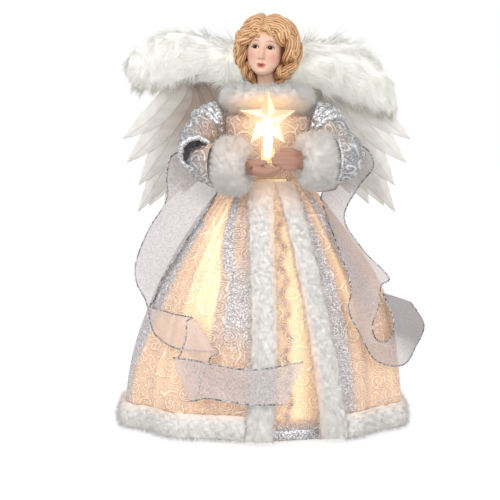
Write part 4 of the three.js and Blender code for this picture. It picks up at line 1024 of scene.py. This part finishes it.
def sleeve(name, stops, puffed, node):
    """A cloth tube through stops of place and radius, creased where it bends and crumpled at a puffed head.
    Creases and crumples are ripples of their own sizes, and both fade towards the mouth."""
    line_of = through(stops, sleeve_steps)
    path, radius = shoulder + line_of[:, :3], line_of[:, 3:]
    _, aside, up = framed(path)
    a = turns(sleeve_around)[None, :]
    t = np.linspace(0, 1, sleeve_steps)[:, None]
    way = np.cos(a)[..., None] * aside[:, None] + np.sin(a)[..., None] * up[:, None]
    smooth = path[:, None] + radius[..., None] * way
    head = puffed * ramp(0.3 - t, 0.2)
    creases = ripple(smooth, crease_size, 31) * crease_depth * (1 - head)
    crumples = ripple(smooth, crumple_size, 32) * (crumple_depth + puff_depth * head)
    folds = (creases + crumples) * (1 - 0.8 * ramp(t - 0.8, 0.2))
    points = smooth + (folds - sleeve_seat)[..., None] * way
    reach = np.linalg.norm(np.diff(path, axis=0), axis=1).sum()
    piece = new_piece(
        name, points, band_faces(*points.shape[:2], closed=True), silver_brocade, slot="silver_brocade",
        lit=np.clip(1.8 * star_light(points, 0.066) - 0.38, 0, 0.8) * (1 - 0.55 * head),
        across=0.017 * a, along=reach * t)
    if node:
        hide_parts(node)
    return points


def foil_roll(name, ring, thickness):
    """A crinkled foil roll round a sleeve: a tube on a ring of its points, its thickness uneven."""
    out = unit(ring - ring.mean(axis=0))
    along = unit(np.roll(ring, -1, axis=0) - np.roll(ring, 1, axis=0))
    a = turns(foil_around)[None, :]
    crinkle = ripple(ring[:, None] + 0.001 * np.cos(a)[..., None], crinkle_size, 41)
    size = thickness * (1 + crinkle_share * crinkle)
    points, faces = ring_tube(rings_on(ring, out, np.cross(along, out), size, size, a))
    new_piece(name, points, faces, silver_thread, slot="silver_braid")


left_sleeve = sleeve("left_sleeve_bell", left_bell, 1.0, "left_sleeve")
sleeve("left_sleeve_inner", left_inner, 0.0, None)
right_sleeve = sleeve("right_sleeve_bell", right_bell, 1.0, "right_sleeve")
foil_roll("left_sleeve_hem", left_sleeve[-1], thickness=0.0027)
foil_roll("right_sleeve_hem", right_sleeve[-1], thickness=0.0015)
for k in (6, 14, 22, 30):
    foil_roll(f"left_shoulder_ruffle_{k}", left_sleeve[k], thickness=0.0038)
    foil_roll(f"right_shoulder_ruffle_{k}", right_sleeve[k], thickness=0.0038)


# Cuffs: fat rolls of the same plush round each wrist, sewn to the mouths of the sleeves.
# They are flushed pink on the side that faces the star.
cuff_radius, cuff_length, cuff_bore = 0.027, 0.024, 0.0074
cuff_backing, cuff_sink, cuff_forward, cuff_stretch, cuff_square = 0.8, 0.0015, 0.66, 1.08, 0.75
cuff_rows = 90
# Middle of each sleeve's mouth, the way that the cuff faces, and its seed
cuffs = {
    "left": (shoulder + [-0.047, -0.050, -0.041], unit(np.array([25.0, -8.0, -1.0])), 51),
    "right": (shoulder + [0.059, -0.052, -0.036], unit(np.array([-24.0, -8.0, -1.0])), 52),
}
for side, (mouth, way, seed) in cuffs.items():
    middle = mouth + way * (cloth_seat + cuff_forward * cuff_length)
    aside = unit(np.cross(way, [0.0, 0.0, 1.0]))
    up = np.cross(aside, way)
    half = (cuff_radius - cuff_bore) / 2
    turn = turns(cuff_rows)[:, None]
    a = turns(roll_around)[None, :]
    round_out, round_along = (np.sign(v) * np.abs(v) ** cuff_square for v in (np.cos(a), np.sin(a)))
    radius = cuff_bore + half - cuff_sink + cuff_backing * half * round_out
    cuff_roll = (middle + (cuff_stretch * cuff_length / 2 * round_along)[..., None] * way
                 + (radius * np.cos(turn))[..., None] * aside + (radius * np.sin(turn))[..., None] * up)
    plush(f"{side}_cuff_plush", cuff_roll, f"{side}_cuff", star_warm(reach=0.040, most=0.75),
          count=17000, length=0.0058, comb=tuple(-0.4 * way), seed=seed, ring=True)


# Hands: small resin castings in the same flesh paint, one cupped under the star and one beside it.
# Fingers, thumb and palm are cast as one, so they are blended into a single skin.
hand_tone = "#AE8675"
limb_steps, limb_around, skin_grain = 24, 16, 0.0005
# Stops of place and radius along palm, four fingers and thumb of each hand, in tenths of a millimetre
hand_forms = {
    "left": [
        [(-440, -512, 2470, 66), (-200, -590, 2460, 74), (-80, -625, 2435, 62)],
        [(-120, -570, 2440, 48), (-20, -590, 2410, 42), (100, -620, 2425, 24)],
        [(-120, -615, 2430, 50), (-10, -645, 2400, 42), (125, -670, 2425, 24)],
        [(-120, -660, 2430, 48), (0, -695, 2400, 40), (125, -712, 2430, 24)],
        [(-130, -690, 2440, 42), (-20, -730, 2420, 36), (95, -740, 2450, 22)],
        [(-200, -640, 2480, 46), (-120, -690, 2490, 36), (-30, -725, 2500, 24)],
    ],
    "right": [
        [(560, -530, 2515, 66), (320, -608, 2505, 72), (220, -645, 2510, 62)],
        [(250, -655, 2455, 40), (160, -690, 2455, 30), (85, -710, 2462, 21)],
        [(250, -655, 2492, 42), (150, -695, 2492, 31), (60, -718, 2495, 22)],
        [(250, -650, 2532, 42), (150, -692, 2530, 31), (50, -715, 2530, 22)],
        [(250, -640, 2570, 40), (160, -680, 2568, 30), (75, -700, 2566, 21)],
        [(290, -620, 2560, 42), (210, -655, 2600, 32), (125, -675, 2612, 22)],
    ],
}


def limb(stops):
    """A rounded tube through stops of place and radius, closed by a half-round tip."""
    stops = np.array(stops) / 10000
    path, radius = through(stops[:, :3], limb_steps), through(stops[:, 3:], limb_steps)
    along, aside, up = framed(path)
    tips = np.linspace(0.3, 1.5, 5)[:, None]
    path = np.concatenate([path, path[-1] + along[-1] * radius[-1] * np.sin(tips)])
    radius = np.concatenate([radius, radius[-1] * np.cos(tips)])
    aside, up = (np.concatenate([way, np.tile(way[-1], (len(tips), 1))]) for way in (aside, up))
    return tube(rings_on(path, aside, up, radius, radius, turns(limb_around)[None, :]))


for side, forms in hand_forms.items():
    points, faces = merged(*[limb(stops) for stops in forms])
    rough_hand = new_piece(f"{side}_hand_form", points, faces, painted_resin)
    remesh = rough_hand.modifiers.new("one_skin", "REMESH")
    remesh.mode = "VOXEL"
    remesh.voxel_size = skin_grain
    ease = rough_hand.modifiers.new("ease", "SMOOTH")
    ease.factor, ease.iterations = 0.5, 3
    skin = bpy.data.meshes.new_from_object(
        rough_hand.evaluated_get(bpy.context.evaluated_depsgraph_get()))
    bpy.data.objects.remove(rough_hand)
    skin.calc_loop_triangles()
    points = np.empty(len(skin.vertices) * 3, dtype=np.float32)
    skin.vertices.foreach_get("co", points)
    faces = np.empty(len(skin.loop_triangles) * 3, dtype=np.int32)
    skin.loop_triangles.foreach_get("vertices", faces)
    bpy.data.meshes.remove(skin)
    piece = new_piece(
        f"{side}_hand_skin", points.reshape(-1, 3), faces.reshape(-1, 3), painted_resin,
        slot="painted_resin", paint=np.tile(linear(hand_tone), (len(points) // 3, 1)))
    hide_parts(f"{side}_hand")


# Star lamp: a clear moulded holder and a long warm lamp that stands on the left palm inside the star.
# The lamp blazes almost white in the middle, and the holder takes up some of its light.
lamp_white = new_material(
    "lit_lamp_glass", Base_Color="#FFF4D6", Roughness=0.1, IOR=1.5, Emission_Strength=2.2)
rim = add_node(lamp_white, "LayerWeight", "Facing", {"Blend": 0.3})
feed(lamp_white, {"Emission Color": add_node(lamp_white, "MixRGB", "Color", {
    "Fac": rim, "Color1": "#FFFDF2", "Color2": "#FFE2A0"})})
dress(lamp_white, "star_bulb")
clear_holder = new_material(
    "clear_moulded_holder", Base_Color="#FFF3DC", Roughness=0.06, IOR=1.49, Transmission_Weight=1.0,
    Emission_Color="#FFE3B0", Emission_Strength=0.25)
dress(clear_holder, "star_socket")


# Star: clear acrylic moulded with five ridged arms, hollow up the middle so that it slips over the lamp.
# Each arm's facets meet in a ridge from tip to middle, and the lamp makes the lower middle brightest.
star_radius, star_waist, star_depth, star_rim = 0.027, 0.011, 0.018, 0.0024
facet_rows, facet_columns = 22, 8
lamp_half_width, lamp_top, lamp_fade, glow_drop, glow_reach = 0.007, 0.004, 0.006, 0.012, 0.014
star_acrylic = new_material("lit_clear_acrylic", Roughness=0.12, IOR=1.49, Emission_Strength=0.42)
glowing = add_node(star_acrylic, "Attribute", "Fac", {}, attribute_name="glow")
feed(star_acrylic, {
    "Emission Color": add_node(star_acrylic, "MixRGB", "Color", {
        "Fac": glowing, "Color1": "#E9C08A", "Color2": "#FFFBEA"}),
    "Base Color": add_node(star_acrylic, "MixRGB", "Color", {
        "Fac": glowing, "Color1": "#B8996E", "Color2": "#FFF6DC"})})

spoke = np.arange(10) * np.pi / 5
reach = np.where(np.arange(10) % 2 == 0, star_radius, star_waist)
corner = np.stack([reach * np.sin(spoke), np.zeros(10), reach * np.cos(spoke)], -1)
edge = np.concatenate([
    here + (beside - here) * np.linspace(0, 1, facet_columns, endpoint=False)[:, None]
    for here, beside in zip(corner, np.roll(corner, -1, axis=0))])
share = np.linspace(0, 1, facet_rows)[:, None]
half_depth = (star_rim + (star_depth - star_rim) * (1 - share)) / 2
front_face, back_face = (
    spread(share * edge[:, 0], way * half_depth, share * edge[:, 2]) for way in (-1, 1))
points, faces = tube(np.concatenate([front_face[1:], back_face[:0:-1]]) + star_place)
round_star = np.arctan2(points[:, 0] - star_place[0], points[:, 2] - star_place[2])
# Alternate facets are painted lighter: painted light and shade on the two sides of each arm's ridge
facet_shade = 0.5 + 0.5 * np.sign(np.sin(5 * round_star))
lamp = bump(points[:, 0], 0, lamp_half_width) * ramp(star_place[2] + lamp_top - points[:, 2], lamp_fade)
middle_glow = star_light(points - [0, 0, -glow_drop], glow_reach)
glow = 0.1 + 0.36 * facet_shade + 0.75 * np.maximum(lamp, middle_glow)
star = new_piece(
    "star_lens", points, faces, star_acrylic, body="star", slot="clear_acrylic", glow=np.clip(glow, 0, 1))
star.data.polygons.foreach_set("use_smooth", np.zeros(len(faces), dtype=bool))
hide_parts("star")


# Stole: one length of sheer organza ribbon with wired edges, over both arms and behind the back.
# Its tails lie on the robe: the left one is folded back and forth, and the right one turns up beside it.
stole_width = 0.038
stole_steps, stole_across = 520, 22
belly, flutter = 0.0018, 0.0006
edge_radius, edge_around, edge_steps, edge_twist = 0.0006, 8, 1600, 0.0032
# Real organza has two or three threads a millimetre: these are drawn as coarse as they need to be to show
organza_thread, whip_length = 0.0011, 0.0022


def on_robe(degrees, height, out):
    """A point at that many millimetres of height on the robe, and so far out from it."""
    angle, height = np.array(math.radians(degrees)), np.array(height / 1000)
    return skirt(
        angle, height, out / 1000 + fullness(angle, height), robe_waist_lift, robe_hem_lift, robe_fold)


def by_arm(x, y, drop):
    """A point by its place across and behind, in millimetres, and its drop below the shoulder."""
    return np.array([x, y, 1000 * shoulder[2] - drop]) / 1000


# Pairs of points on the ribbon's two edges, from the left tail's end round the back to the right one's
stole_edges = [
    (on_robe(15, 75, 16), on_robe(8, 39, 17)), (on_robe(-4, 69.5, 18), on_robe(-4, 39.5, 18)),
    (on_robe(-16, 71, 16), on_robe(-15, 41, 16)), (on_robe(-27, 75, 15), on_robe(-22, 42, 15)),
    (on_robe(-35, 76, 14), on_robe(-26.5, 39, 14)), (on_robe(-36.5, 76, 12), on_robe(-28, 39, 12)),
    (on_robe(-35, 76, 10), on_robe(-26.5, 39, 10)), (on_robe(-33, 92, 10), on_robe(-24, 60, 10)),
    (on_robe(-34, 109, 10), on_robe(-21, 80, 10)), (on_robe(-32.5, 110.5, 8), on_robe(-19.7, 81, 8)),
    (on_robe(-34, 111, 6), on_robe(-21, 81.5, 6)), (on_robe(-44, 112, 6.5), on_robe(-36, 83, 6.5)),
    (on_robe(-52, 113, 6), on_robe(-46, 86, 6)), (on_robe(-60, 114, 6), on_robe(-52, 89, 6)),
    (on_robe(-66, 116, 6), on_robe(-57, 93, 6)), (by_arm(-106, -35, 168), by_arm(-114, -32, 167)),
    (on_robe(-68, 138, 4), by_arm(-123, -20, 153)), (on_robe(-65, 160, 4), by_arm(-124, -13, 137)),
    (on_robe(-63, 190, 4), by_arm(-112, -8, 104)), (on_robe(-62, 208, 4), by_arm(-95, -4, 74)),
    (by_arm(-48, 2, 66), by_arm(-95, 0, 54)), (by_arm(-57, 10, 61), by_arm(-90, 6, 34)),
    (by_arm(-55, 14, 63), by_arm(-66, 13, 29)), (on_robe(-124, 219, 3), by_arm(-34, 24, 31)),
    (on_robe(-152, 218, 2), by_arm(-17, 31, 32)), (on_robe(180, 217, 1.2), by_arm(0, 29.5, 33)),
    (on_robe(152, 218, 2), by_arm(17, 31, 32)), (on_robe(124, 219, 3), by_arm(34, 24, 31)),
    (by_arm(58, 14, 68), by_arm(68, 13, 27)), (by_arm(66, 9, 66), by_arm(92, 6, 26)),
    (by_arm(58, 3, 62), by_arm(101, 0, 42)), (by_arm(51, -8, 72), by_arm(87, -6, 62)),
    (by_arm(56, -31, 92), by_arm(72, -14, 92)), (on_robe(46, 172, 11), by_arm(88, -26, 119)),
    (on_robe(44, 152, 12), by_arm(114, -30, 147)), (on_robe(42, 134, 12), on_robe(63, 135, 12)),
    (on_robe(38, 118, 12), on_robe(58, 117, 11)), (on_robe(41.5, 95, 11), on_robe(51, 99, 11)),
    (on_robe(50, 71, 10), on_robe(53, 88, 10)), (on_robe(70, 61, 9), on_robe(61, 86, 10)),
    (by_arm(140, -16, 214), on_robe(64, 92, 10)), (by_arm(149, -7, 194), on_robe(65.5, 104, 10)),
    (by_arm(137, -5, 172), on_robe(65, 129, 9)),
]
inner, outer = (through([pair[k] for pair in stole_edges], stole_steps) for k in (0, 1))
share = np.linspace(0, 1, stole_across)[None, :]
run = np.linspace(0, 1, stole_steps)[:, None]
flat_stole = inner[:, None] + (outer - inner)[:, None] * share[..., None]
along = unit(np.gradient(flat_stole.mean(axis=1), axis=0))
lift = unit(np.cross(outer - inner, along))
wave = belly * np.sin(np.pi * share) * np.sin(38 * run) + flutter * np.sin(90 * run + 5 * share)
stole_points = flat_stole + wave[..., None] * lift[:, None]
stole_length = np.linalg.norm(np.diff(flat_stole.mean(axis=1), axis=0), axis=1).sum()

sheer_organza = new_material("sheer_organza", Roughness=0.5, IOR=1.5)
made = functools.partial(add_node, sheer_organza)
weft, warp, turned, lit = (
    made("Attribute", "Fac", {}, attribute_name=k) for k in ("weft", "warp", "turned", "lit"))
weft_thread, warp_thread = (made("Math", "Value", {0: thread}, operation="SINE") for thread in (weft, warp))
crossing = made("Math", "Value", {0: weft_thread, 1: warp_thread}, operation="MULTIPLY")
opacity = made("MapRange", "Result", {
    "Value": crossing, "From Min": -1.0, "From Max": 1.0, "To Min": 0.52, "To Max": 0.72})
place = made("TexCoord", "Object", {})
specks = made("TexVoronoi", "Color", {"Vector": place, "Scale": 1 / flake_size})
speck = made("SeparateColor", "Red", {"Color": specks})
glitter = made("MixRGB", "Color", {"Fac": speck, "Color1": "#AAA0A2", "Color2": "#DAD0CF"})
# The ribbon is painted greyer, a painted shade, and made more opaque along the left arm, from the right arm
# down the right tail, and most on that tail's turned-up end; where it lies on the glowing robe it is painted
# warmer and thinner, painted light
greyed = made("MixRGB", "Color", {"Fac": turned, "Color1": glitter, "Color2": "#6E6562"})
warmed = made("MixRGB", "Color", {"Fac": lit, "Color1": greyed, "Color2": "#FBE0D0"})
thicker = made("Math", "Value", {0: turned, 1: 0.3, 2: opacity}, operation="MULTIPLY_ADD")
thinner = made("Math", "Value", {0: lit, 1: -0.3, 2: thicker}, operation="MULTIPLY_ADD")
feed(sheer_organza, {"Alpha": thinner, "Base Color": warmed})
stole = new_piece(
    "stole_ribbon", stole_points, band_faces(*stole_points.shape[:2]), sheer_organza, slot="organza",
    weft=2 * np.pi * stole_length * run / organza_thread,
    warp=2 * np.pi * stole_width * share / organza_thread,
    turned=(0.55 * ramp(run - 0.93, 0.03) + 0.2 * between(run, 0.72, 1.1, 0.04)
            + 0.14 * between(run, 0.36, 0.46, 0.04)),
    lit=0.6 * between(run, 0.095, 0.343, 0.04) + 0.15 * between(run, 0.724, 0.93, 0.06))
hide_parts("stole")


def wired_edge(path):
    """An edge wire whipped in metal thread: a tube whose radius rises and falls along it."""
    _, aside, up = framed(path)
    a = turns(edge_around)[None, :]
    reach = np.concatenate([[0], np.cumsum(np.linalg.norm(np.diff(path, axis=0), axis=1))])[:, None]
    size = edge_radius * (1 + 0.3 * np.sin(2 * np.pi * reach / edge_twist + a))
    return tube(rings_on(path, aside, up, size, size, a))


points, faces = merged(*[wired_edge(through(stole_points[:, k], edge_steps)) for k in (0, -1)])
edge_silver = new_material("whipped_silver_edge", Metallic=0.7, Roughness=0.4)
place = add_node(edge_silver, "TexCoord", "Object", {})
whip = add_node(edge_silver, "TexNoise", "Fac", {"Vector": place, "Scale": 1 / whip_length, "Detail": 1.0})
contrast = add_node(edge_silver, "MapRange", "Result", {"Value": whip, "From Min": 0.4, "From Max": 0.62})
feed(edge_silver, {"Base Color": add_node(edge_silver, "MixRGB", "Color", {
    "Fac": contrast, "Color1": "#5C5C60", "Color2": "#C4C4C8"})})
stole_wires = new_piece("stole_wired_edges", points, faces, edge_silver, slot="organza")


# Feathers: seven white goose feathers a wing, glued by their quills to the card, the outermost in front.
# A vane is two rows of barbs on a pale quill; the barbs part here and there, and the vane bows to one side.
wings = {"left": -1, "right": 1}
hinge_out, hinge_back = 0.018, 0.0347
wing_sweep = math.radians(10)
wire_radius, seat_gap, card_thickness = 0.0012, 0.0003, 0.0012
feather_thickness = 0.0008
feather_pitch = feather_thickness + seat_gap
card_front = wire_radius + seat_gap + card_thickness
vane_rows, vane_columns, vane_half = 130, 19, 0.00018
vane_bow, vane_camber, quill_radius, quill_around = 0.006, 0.0008, 0.0006, 8
# Real barbs stand closer: these are as far apart as they need to be to show
barb_pitch, barb_relief = 0.0016, 0.00007
# Root and tip, each as distance out from the hinge and height above the shoulder, and width
feathers = [
    ((0.062, 0.040), (0.122, -0.019), 0.022), ((0.058, 0.036), (0.118, -0.042), 0.025),
    ((0.054, 0.032), (0.107, -0.064), 0.029), ((0.050, 0.030), (0.108, -0.090), 0.028),
    ((0.044, 0.034), (0.097, -0.084), 0.034), ((0.036, 0.040), (0.082, -0.082), 0.036),
    ((0.026, 0.044), (0.064, -0.072), 0.038)]
# How much painted shade greys each feather towards its root, where feathers in front and the down shade it
feather_shades = {
    "left": (0.35, 0.8, 1.0, 1.0, 1.0, 1.0, 1.0), "right": (0.1, 0.15, 0.25, 0.35, 0.45, 0.5, 0.5)}


def on_wing(side, out, rise, behind):
    """A point of a wing: distance out from the hinge, height above the shoulder and distance behind."""
    return spread(
        side * (hinge_out + out * math.cos(wing_sweep) - behind * math.sin(wing_sweep)),
        hinge_back + out * math.sin(wing_sweep) + behind * math.cos(wing_sweep), shoulder[2] + rise)


goose_vane = new_material(
    "goose_feather_vane", Roughness=0.7, IOR=1.54, Subsurface_Weight=0.4, Subsurface_Scale=0.003,
    Subsurface_Radius=(1, 1, 1))
barb, tinge = (add_node(goose_vane, "Attribute", "Fac", {}, attribute_name=k) for k in ("barb", "tinge"))
ribs = add_node(goose_vane, "Math", "Value", {0: barb}, operation="SINE")
rib_tone = add_node(goose_vane, "MapRange", "Result", {"Value": ribs, "From Min": -1.0, "From Max": 1.0})
vane = add_node(goose_vane, "MixRGB", "Color", {
    "Fac": rib_tone, "Color1": "#D6D4CB", "Color2": "#E6E4DC"})
feed(goose_vane, {"Base Color": add_node(goose_vane, "MixRGB", "Color", {
    "Fac": tinge, "Color1": vane, "Color2": "#A49084"})})


def feather_shape(side, root, tip, width, behind, tinge_share, seed):
    """A feather: full width to half its length and then tapered by 1.02 - u ** 1.7, bowed by sin(pi * t),
    with barbs as ridges that slant to the quill, and splits where the edge is drawn in.
    Its third and fourth part are how far along the barbs each point lies, and how much painted shade greys
    it."""
    draw = np.random.default_rng(seed)
    t = np.linspace(0, 1, vane_rows)[:, None]
    s = np.sin(np.linspace(-1, 1, vane_columns) * np.pi / 2)[None, :]
    length = math.hypot(tip[0] - root[0], tip[1] - root[1])
    along = np.array([tip[0] - root[0], tip[1] - root[1]]) / length
    square = np.array([-along[1], along[0]])
    half = width / 2 * np.clip(t / 0.14, 0.06, 1) ** 0.5 * (1.02 - ramp(t - 0.5, 0.5) ** 1.7)
    for split, depth in zip(draw.uniform(0.45, 0.95, 3), draw.uniform(0.08, 0.2, 3)):
        half = half * (1 - depth * bump(t, split, 0.008) * (s * draw.choice([-1, 1]) > 0))
    barb = (t * length + 0.8 * np.abs(s) * half) / barb_pitch * 2 * np.pi
    bow = -vane_bow * np.sin(np.pi * t) * np.sign(square[1])
    out, rise = (
        root[k] + along[k] * t * length + square[k] * (s * half + bow)
        - along[k] * 0.25 * np.abs(s) * half * (1 - t) for k in (0, 1))
    camber = vane_camber * s ** 2 - barb_relief * np.sin(barb)
    front, back = (on_wing(side, out, rise, behind + camber + lift) for lift in (-vane_half, vane_half))
    # Painted shade greys each feather towards its root and a little at its edges
    grey = (tinge_share * (0.12 + 0.88 * ramp(0.66 - t, 0.4)) + 0.05 * np.abs(s) ** 6
            + 0.06 * np.sin(barb / 9 + seed))
    barbs, greys = (
        np.append(np.concatenate([v, v[:, ::-1]], axis=1), [0, 0]) for v in (barb, np.clip(grey, 0, 1)))
    quill_path = on_wing(side, *[root[k] + along[k] * t * length + square[k] * bow for k in (0, 1)],
                         behind - 0.0002)[:, 0]
    _, aside, up = framed(quill_path)
    size = quill_radius * (1 - 0.85 * t)
    quill = tube(rings_on(quill_path, aside, up, 0.4 * size, size, turns(quill_around)[None, :]))
    points, faces = merged(tube(np.concatenate([front, back[:, ::-1]], axis=1)), quill)
    pale = np.ones(len(quill[0]))
    return points, faces, np.append(barbs, 1.6 * pale), np.append(greys, (0.15 + 0.3 * tinge_share) * pale)


for name, side in wings.items():
    for k, (root, tip, width) in enumerate(feathers):
        behind = -card_front - seat_gap - feather_thickness / 2 - (len(feathers) - 1 - k) * feather_pitch
        points, faces, barb, tinge = feather_shape(
            side, root, tip, width, behind, feather_shades[name][k], 300 + 20 * side + k)
        piece = new_piece(
            f"{name}_goose_feather_{k + 1}", points, faces, goose_vane, body=f"{name}_wing",
            slot="goose_feather", barb=barb, tinge=tinge)
        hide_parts(f"{name}_feather_{k + 1}")


# Down: soft turkey down heaped over the top of each wing, front and back, on a padded core.
# The strands lie along the heap, out along the wing and down at its end, and part in clumps.
# In front, the short ones at its root turn in towards the neck.
down_depths = {"front": 0.016, "back": 0.011}
feather_front = card_front + len(feathers) * feather_pitch
down_strands, down_length, down_clump, down_root = 12500, 0.026, 0.016, 0.001
heap_rows, heap_around = 60, 48
# Distance out from the hinge, height of the middle above the shoulder and half-height, along each heap
heaps = {
    "left": np.array([
        [0.004, 0.050, 0.018], [0.022, 0.056, 0.018], [0.048, 0.062, 0.018], [0.080, 0.058, 0.024],
        [0.102, 0.054, 0.019], [0.112, 0.052, 0.011], [0.116, 0.051, 0.002]]),
    "right": np.array([
        [0.004, 0.050, 0.018], [0.021, 0.052, 0.022], [0.040, 0.051, 0.024], [0.060, 0.046, 0.024],
        [0.086, 0.033, 0.022], [0.101, 0.021, 0.013], [0.106, 0.016, 0.002]]),
}

# The down glows faintly all over, a painted light that brightens it
white_down = new_material(
    "white_turkey_down", Roughness=0.9, IOR=1.54, Emission_Color="#D6D6CC", Emission_Strength=0.3)
lock_tone = add_node(white_down, "Attribute", "Fac", {}, attribute_name="clump")
feed(white_down, {"Base Color": add_node(white_down, "MixRGB", "Color", {
    "Fac": lock_tone, "Color1": "#D2D0C4", "Color2": "#FCFCF9"})})


def down_core(side, heap, flat, depth, way):
    """The padded core: half-round sections along the heap's middle line, deepest where it is highest."""
    heap = through(heap, heap_rows)
    a = turns(heap_around)[None, :]
    lump = 1 + 0.06 * np.cos(3 * a + 70 * heap[:, :1]) + 0.05 * np.cos(110 * heap[:, :1])
    rise = heap[:, 1:2] + heap[:, 2:] * lump * np.cos(a)
    swell = heap[:, 2:] / heap[:, 2].max() * lump * np.maximum(0, np.sin(a))
    return on_wing(side, heap[:, :1], rise, way * (flat + depth * swell))


for name, side in wings.items():
    outward = on_wing(side, 1.0, 0.0, 0.0) - on_wing(side, 0.0, 0.0, 0.0)
    for k, (face_name, flat, way) in enumerate([
            ("front", feather_front + seat_gap, -1), ("back", wire_radius + seat_gap, 1)]):
        seed = 500 + 10 * k + side
        draw = np.random.default_rng(seed)
        grid = down_core(side, heaps[name], flat, down_depths[face_name], way)
        points, faces = tube(grid)
        core = new_piece(
            f"{name}_down_core_{face_name}", points, faces, white_down, body=f"{name}_wing", slot="down",
            clump=0.6)
        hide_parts(f"{name}_down_{face_name}")
        roots, normal = scatter(np.concatenate([grid, grid[:, :1]], axis=1), down_strands, draw)
        share = ramp((roots - on_wing(side, 0.01, 0.0, 0.0)) @ outward, 0.1)[:, None]
        from_hinge = (roots - on_wing(side, 0.0, 0.0, 0.0)) @ outward
        at_root = (1 - k) * ramp(0.018 - from_hinge, 0.012)[:, None]
        swirl = ripples(roots, down_clump, seed)
        comb = (1 - 0.7 * share ** 2 - 1.7 * at_root) * outward + [0, 0, -1] * (0.15 + 0.9 * share ** 2)
        ways = unit(comb + 0.45 * normal + 0.5 * swirl + draw.normal(size=roots.shape) * 0.12)
        bends = 0.35 * swirl - 0.25 * normal + [0, 0, -0.2] * share
        shorter = 1 - 0.55 * share[:, 0] - 0.5 * at_root[:, 0]
        lengths = down_length * shorter * draw.uniform(0.6, 1.1, down_strands)
        points, faces = strands(roots - down_root * normal, ways, bends, lengths, pile_width, draw, joints=2)
        tuft = np.clip(0.68 + 0.4 * ripple(roots, 0.5 * down_clump, seed + 4), 0, 1)
        new_piece(
            f"{name}_down_strands_{face_name}", points, faces, white_down, body=f"{name}_wing", slot="down",
            normals=np.repeat(unit(normal + 0.35 * swirl), points.shape[1], axis=0), clump=tuft[:, None])


# Floor and light: a plain pale floor, a surround that is white to the camera and to shiny things and lights
# the rest a little less, and two large soft lamps in front, the left one twice as strong as the right.
floor_half = 6.0
lamp_aim = np.array([0.0, 0.0, 0.2])
floor_paint = new_material("pale_floor", Roughness=0.9, Emission_Color=(1, 1, 1, 1))
seen = add_node(floor_paint, "LightPath", "Is Camera Ray", {})
feed(floor_paint, {
    "Base Color": add_node(floor_paint, "MixRGB", "Color", {
        "Fac": seen, "Color1": "#F4F4F4", "Color2": "#8A8A8A"}),
    "Emission Strength": add_node(floor_paint, "Math", "Value", {0: seen, 1: 0.78}, operation="MULTIPLY")})
corners = np.array([[-1, -1, 0], [1, -1, 0], [1, 1, 0], [-1, 1, 0]]) * floor_half
floor_mesh = bpy.data.meshes.new("floor")
floor_mesh.from_pydata(corners.tolist(), [], [(0, 1, 2, 3)])
floor_mesh.materials.append(floor_paint)
floor = bpy.data.objects.new("floor", floor_mesh)
bpy.context.scene.collection.objects.link(floor)

surround = bpy.data.worlds.new("white_surround")
surround.use_nodes = True
ray = add_node(surround, "LightPath", "Is Camera Ray", {}).node.outputs
shown = add_node(surround, "Math", "Value", {
    0: ray["Is Camera Ray"], 1: ray["Is Glossy Ray"]}, operation="ADD")
shown = add_node(surround, "Math", "Value", {
    0: shown, 1: ray["Is Transmission Ray"]}, operation="ADD", use_clamp=True)
strength = add_node(surround, "MapRange", "Result", {"Value": shown, "To Min": 0.74, "To Max": 1.0})
feed(surround, {"Color": (1, 1, 1, 1), "Strength": strength}, surround.node_tree.nodes["Background"])
bpy.context.scene.world = surround

for name, place, power, size in [
        ("key_light", (-0.9, -1.5, 1.3), 16.0, 0.9), ("fill_light", (1.2, -1.3, 0.7), 8.0, 1.2)]:
    lamp = bpy.data.lights.new(name, "AREA")
    lamp.energy, lamp.size = power, size
    holder = bpy.data.objects.new(name, lamp)
    holder.location = place
    aim = lamp_aim - np.array(place)
    holder.rotation_euler = (
        math.atan2(math.hypot(aim[0], aim[1]), -aim[2]), 0, math.atan2(-aim[0], aim[1]))
    bpy.context.scene.collection.objects.link(holder)

bpy.context.scene.view_settings.view_transform = "Standard"
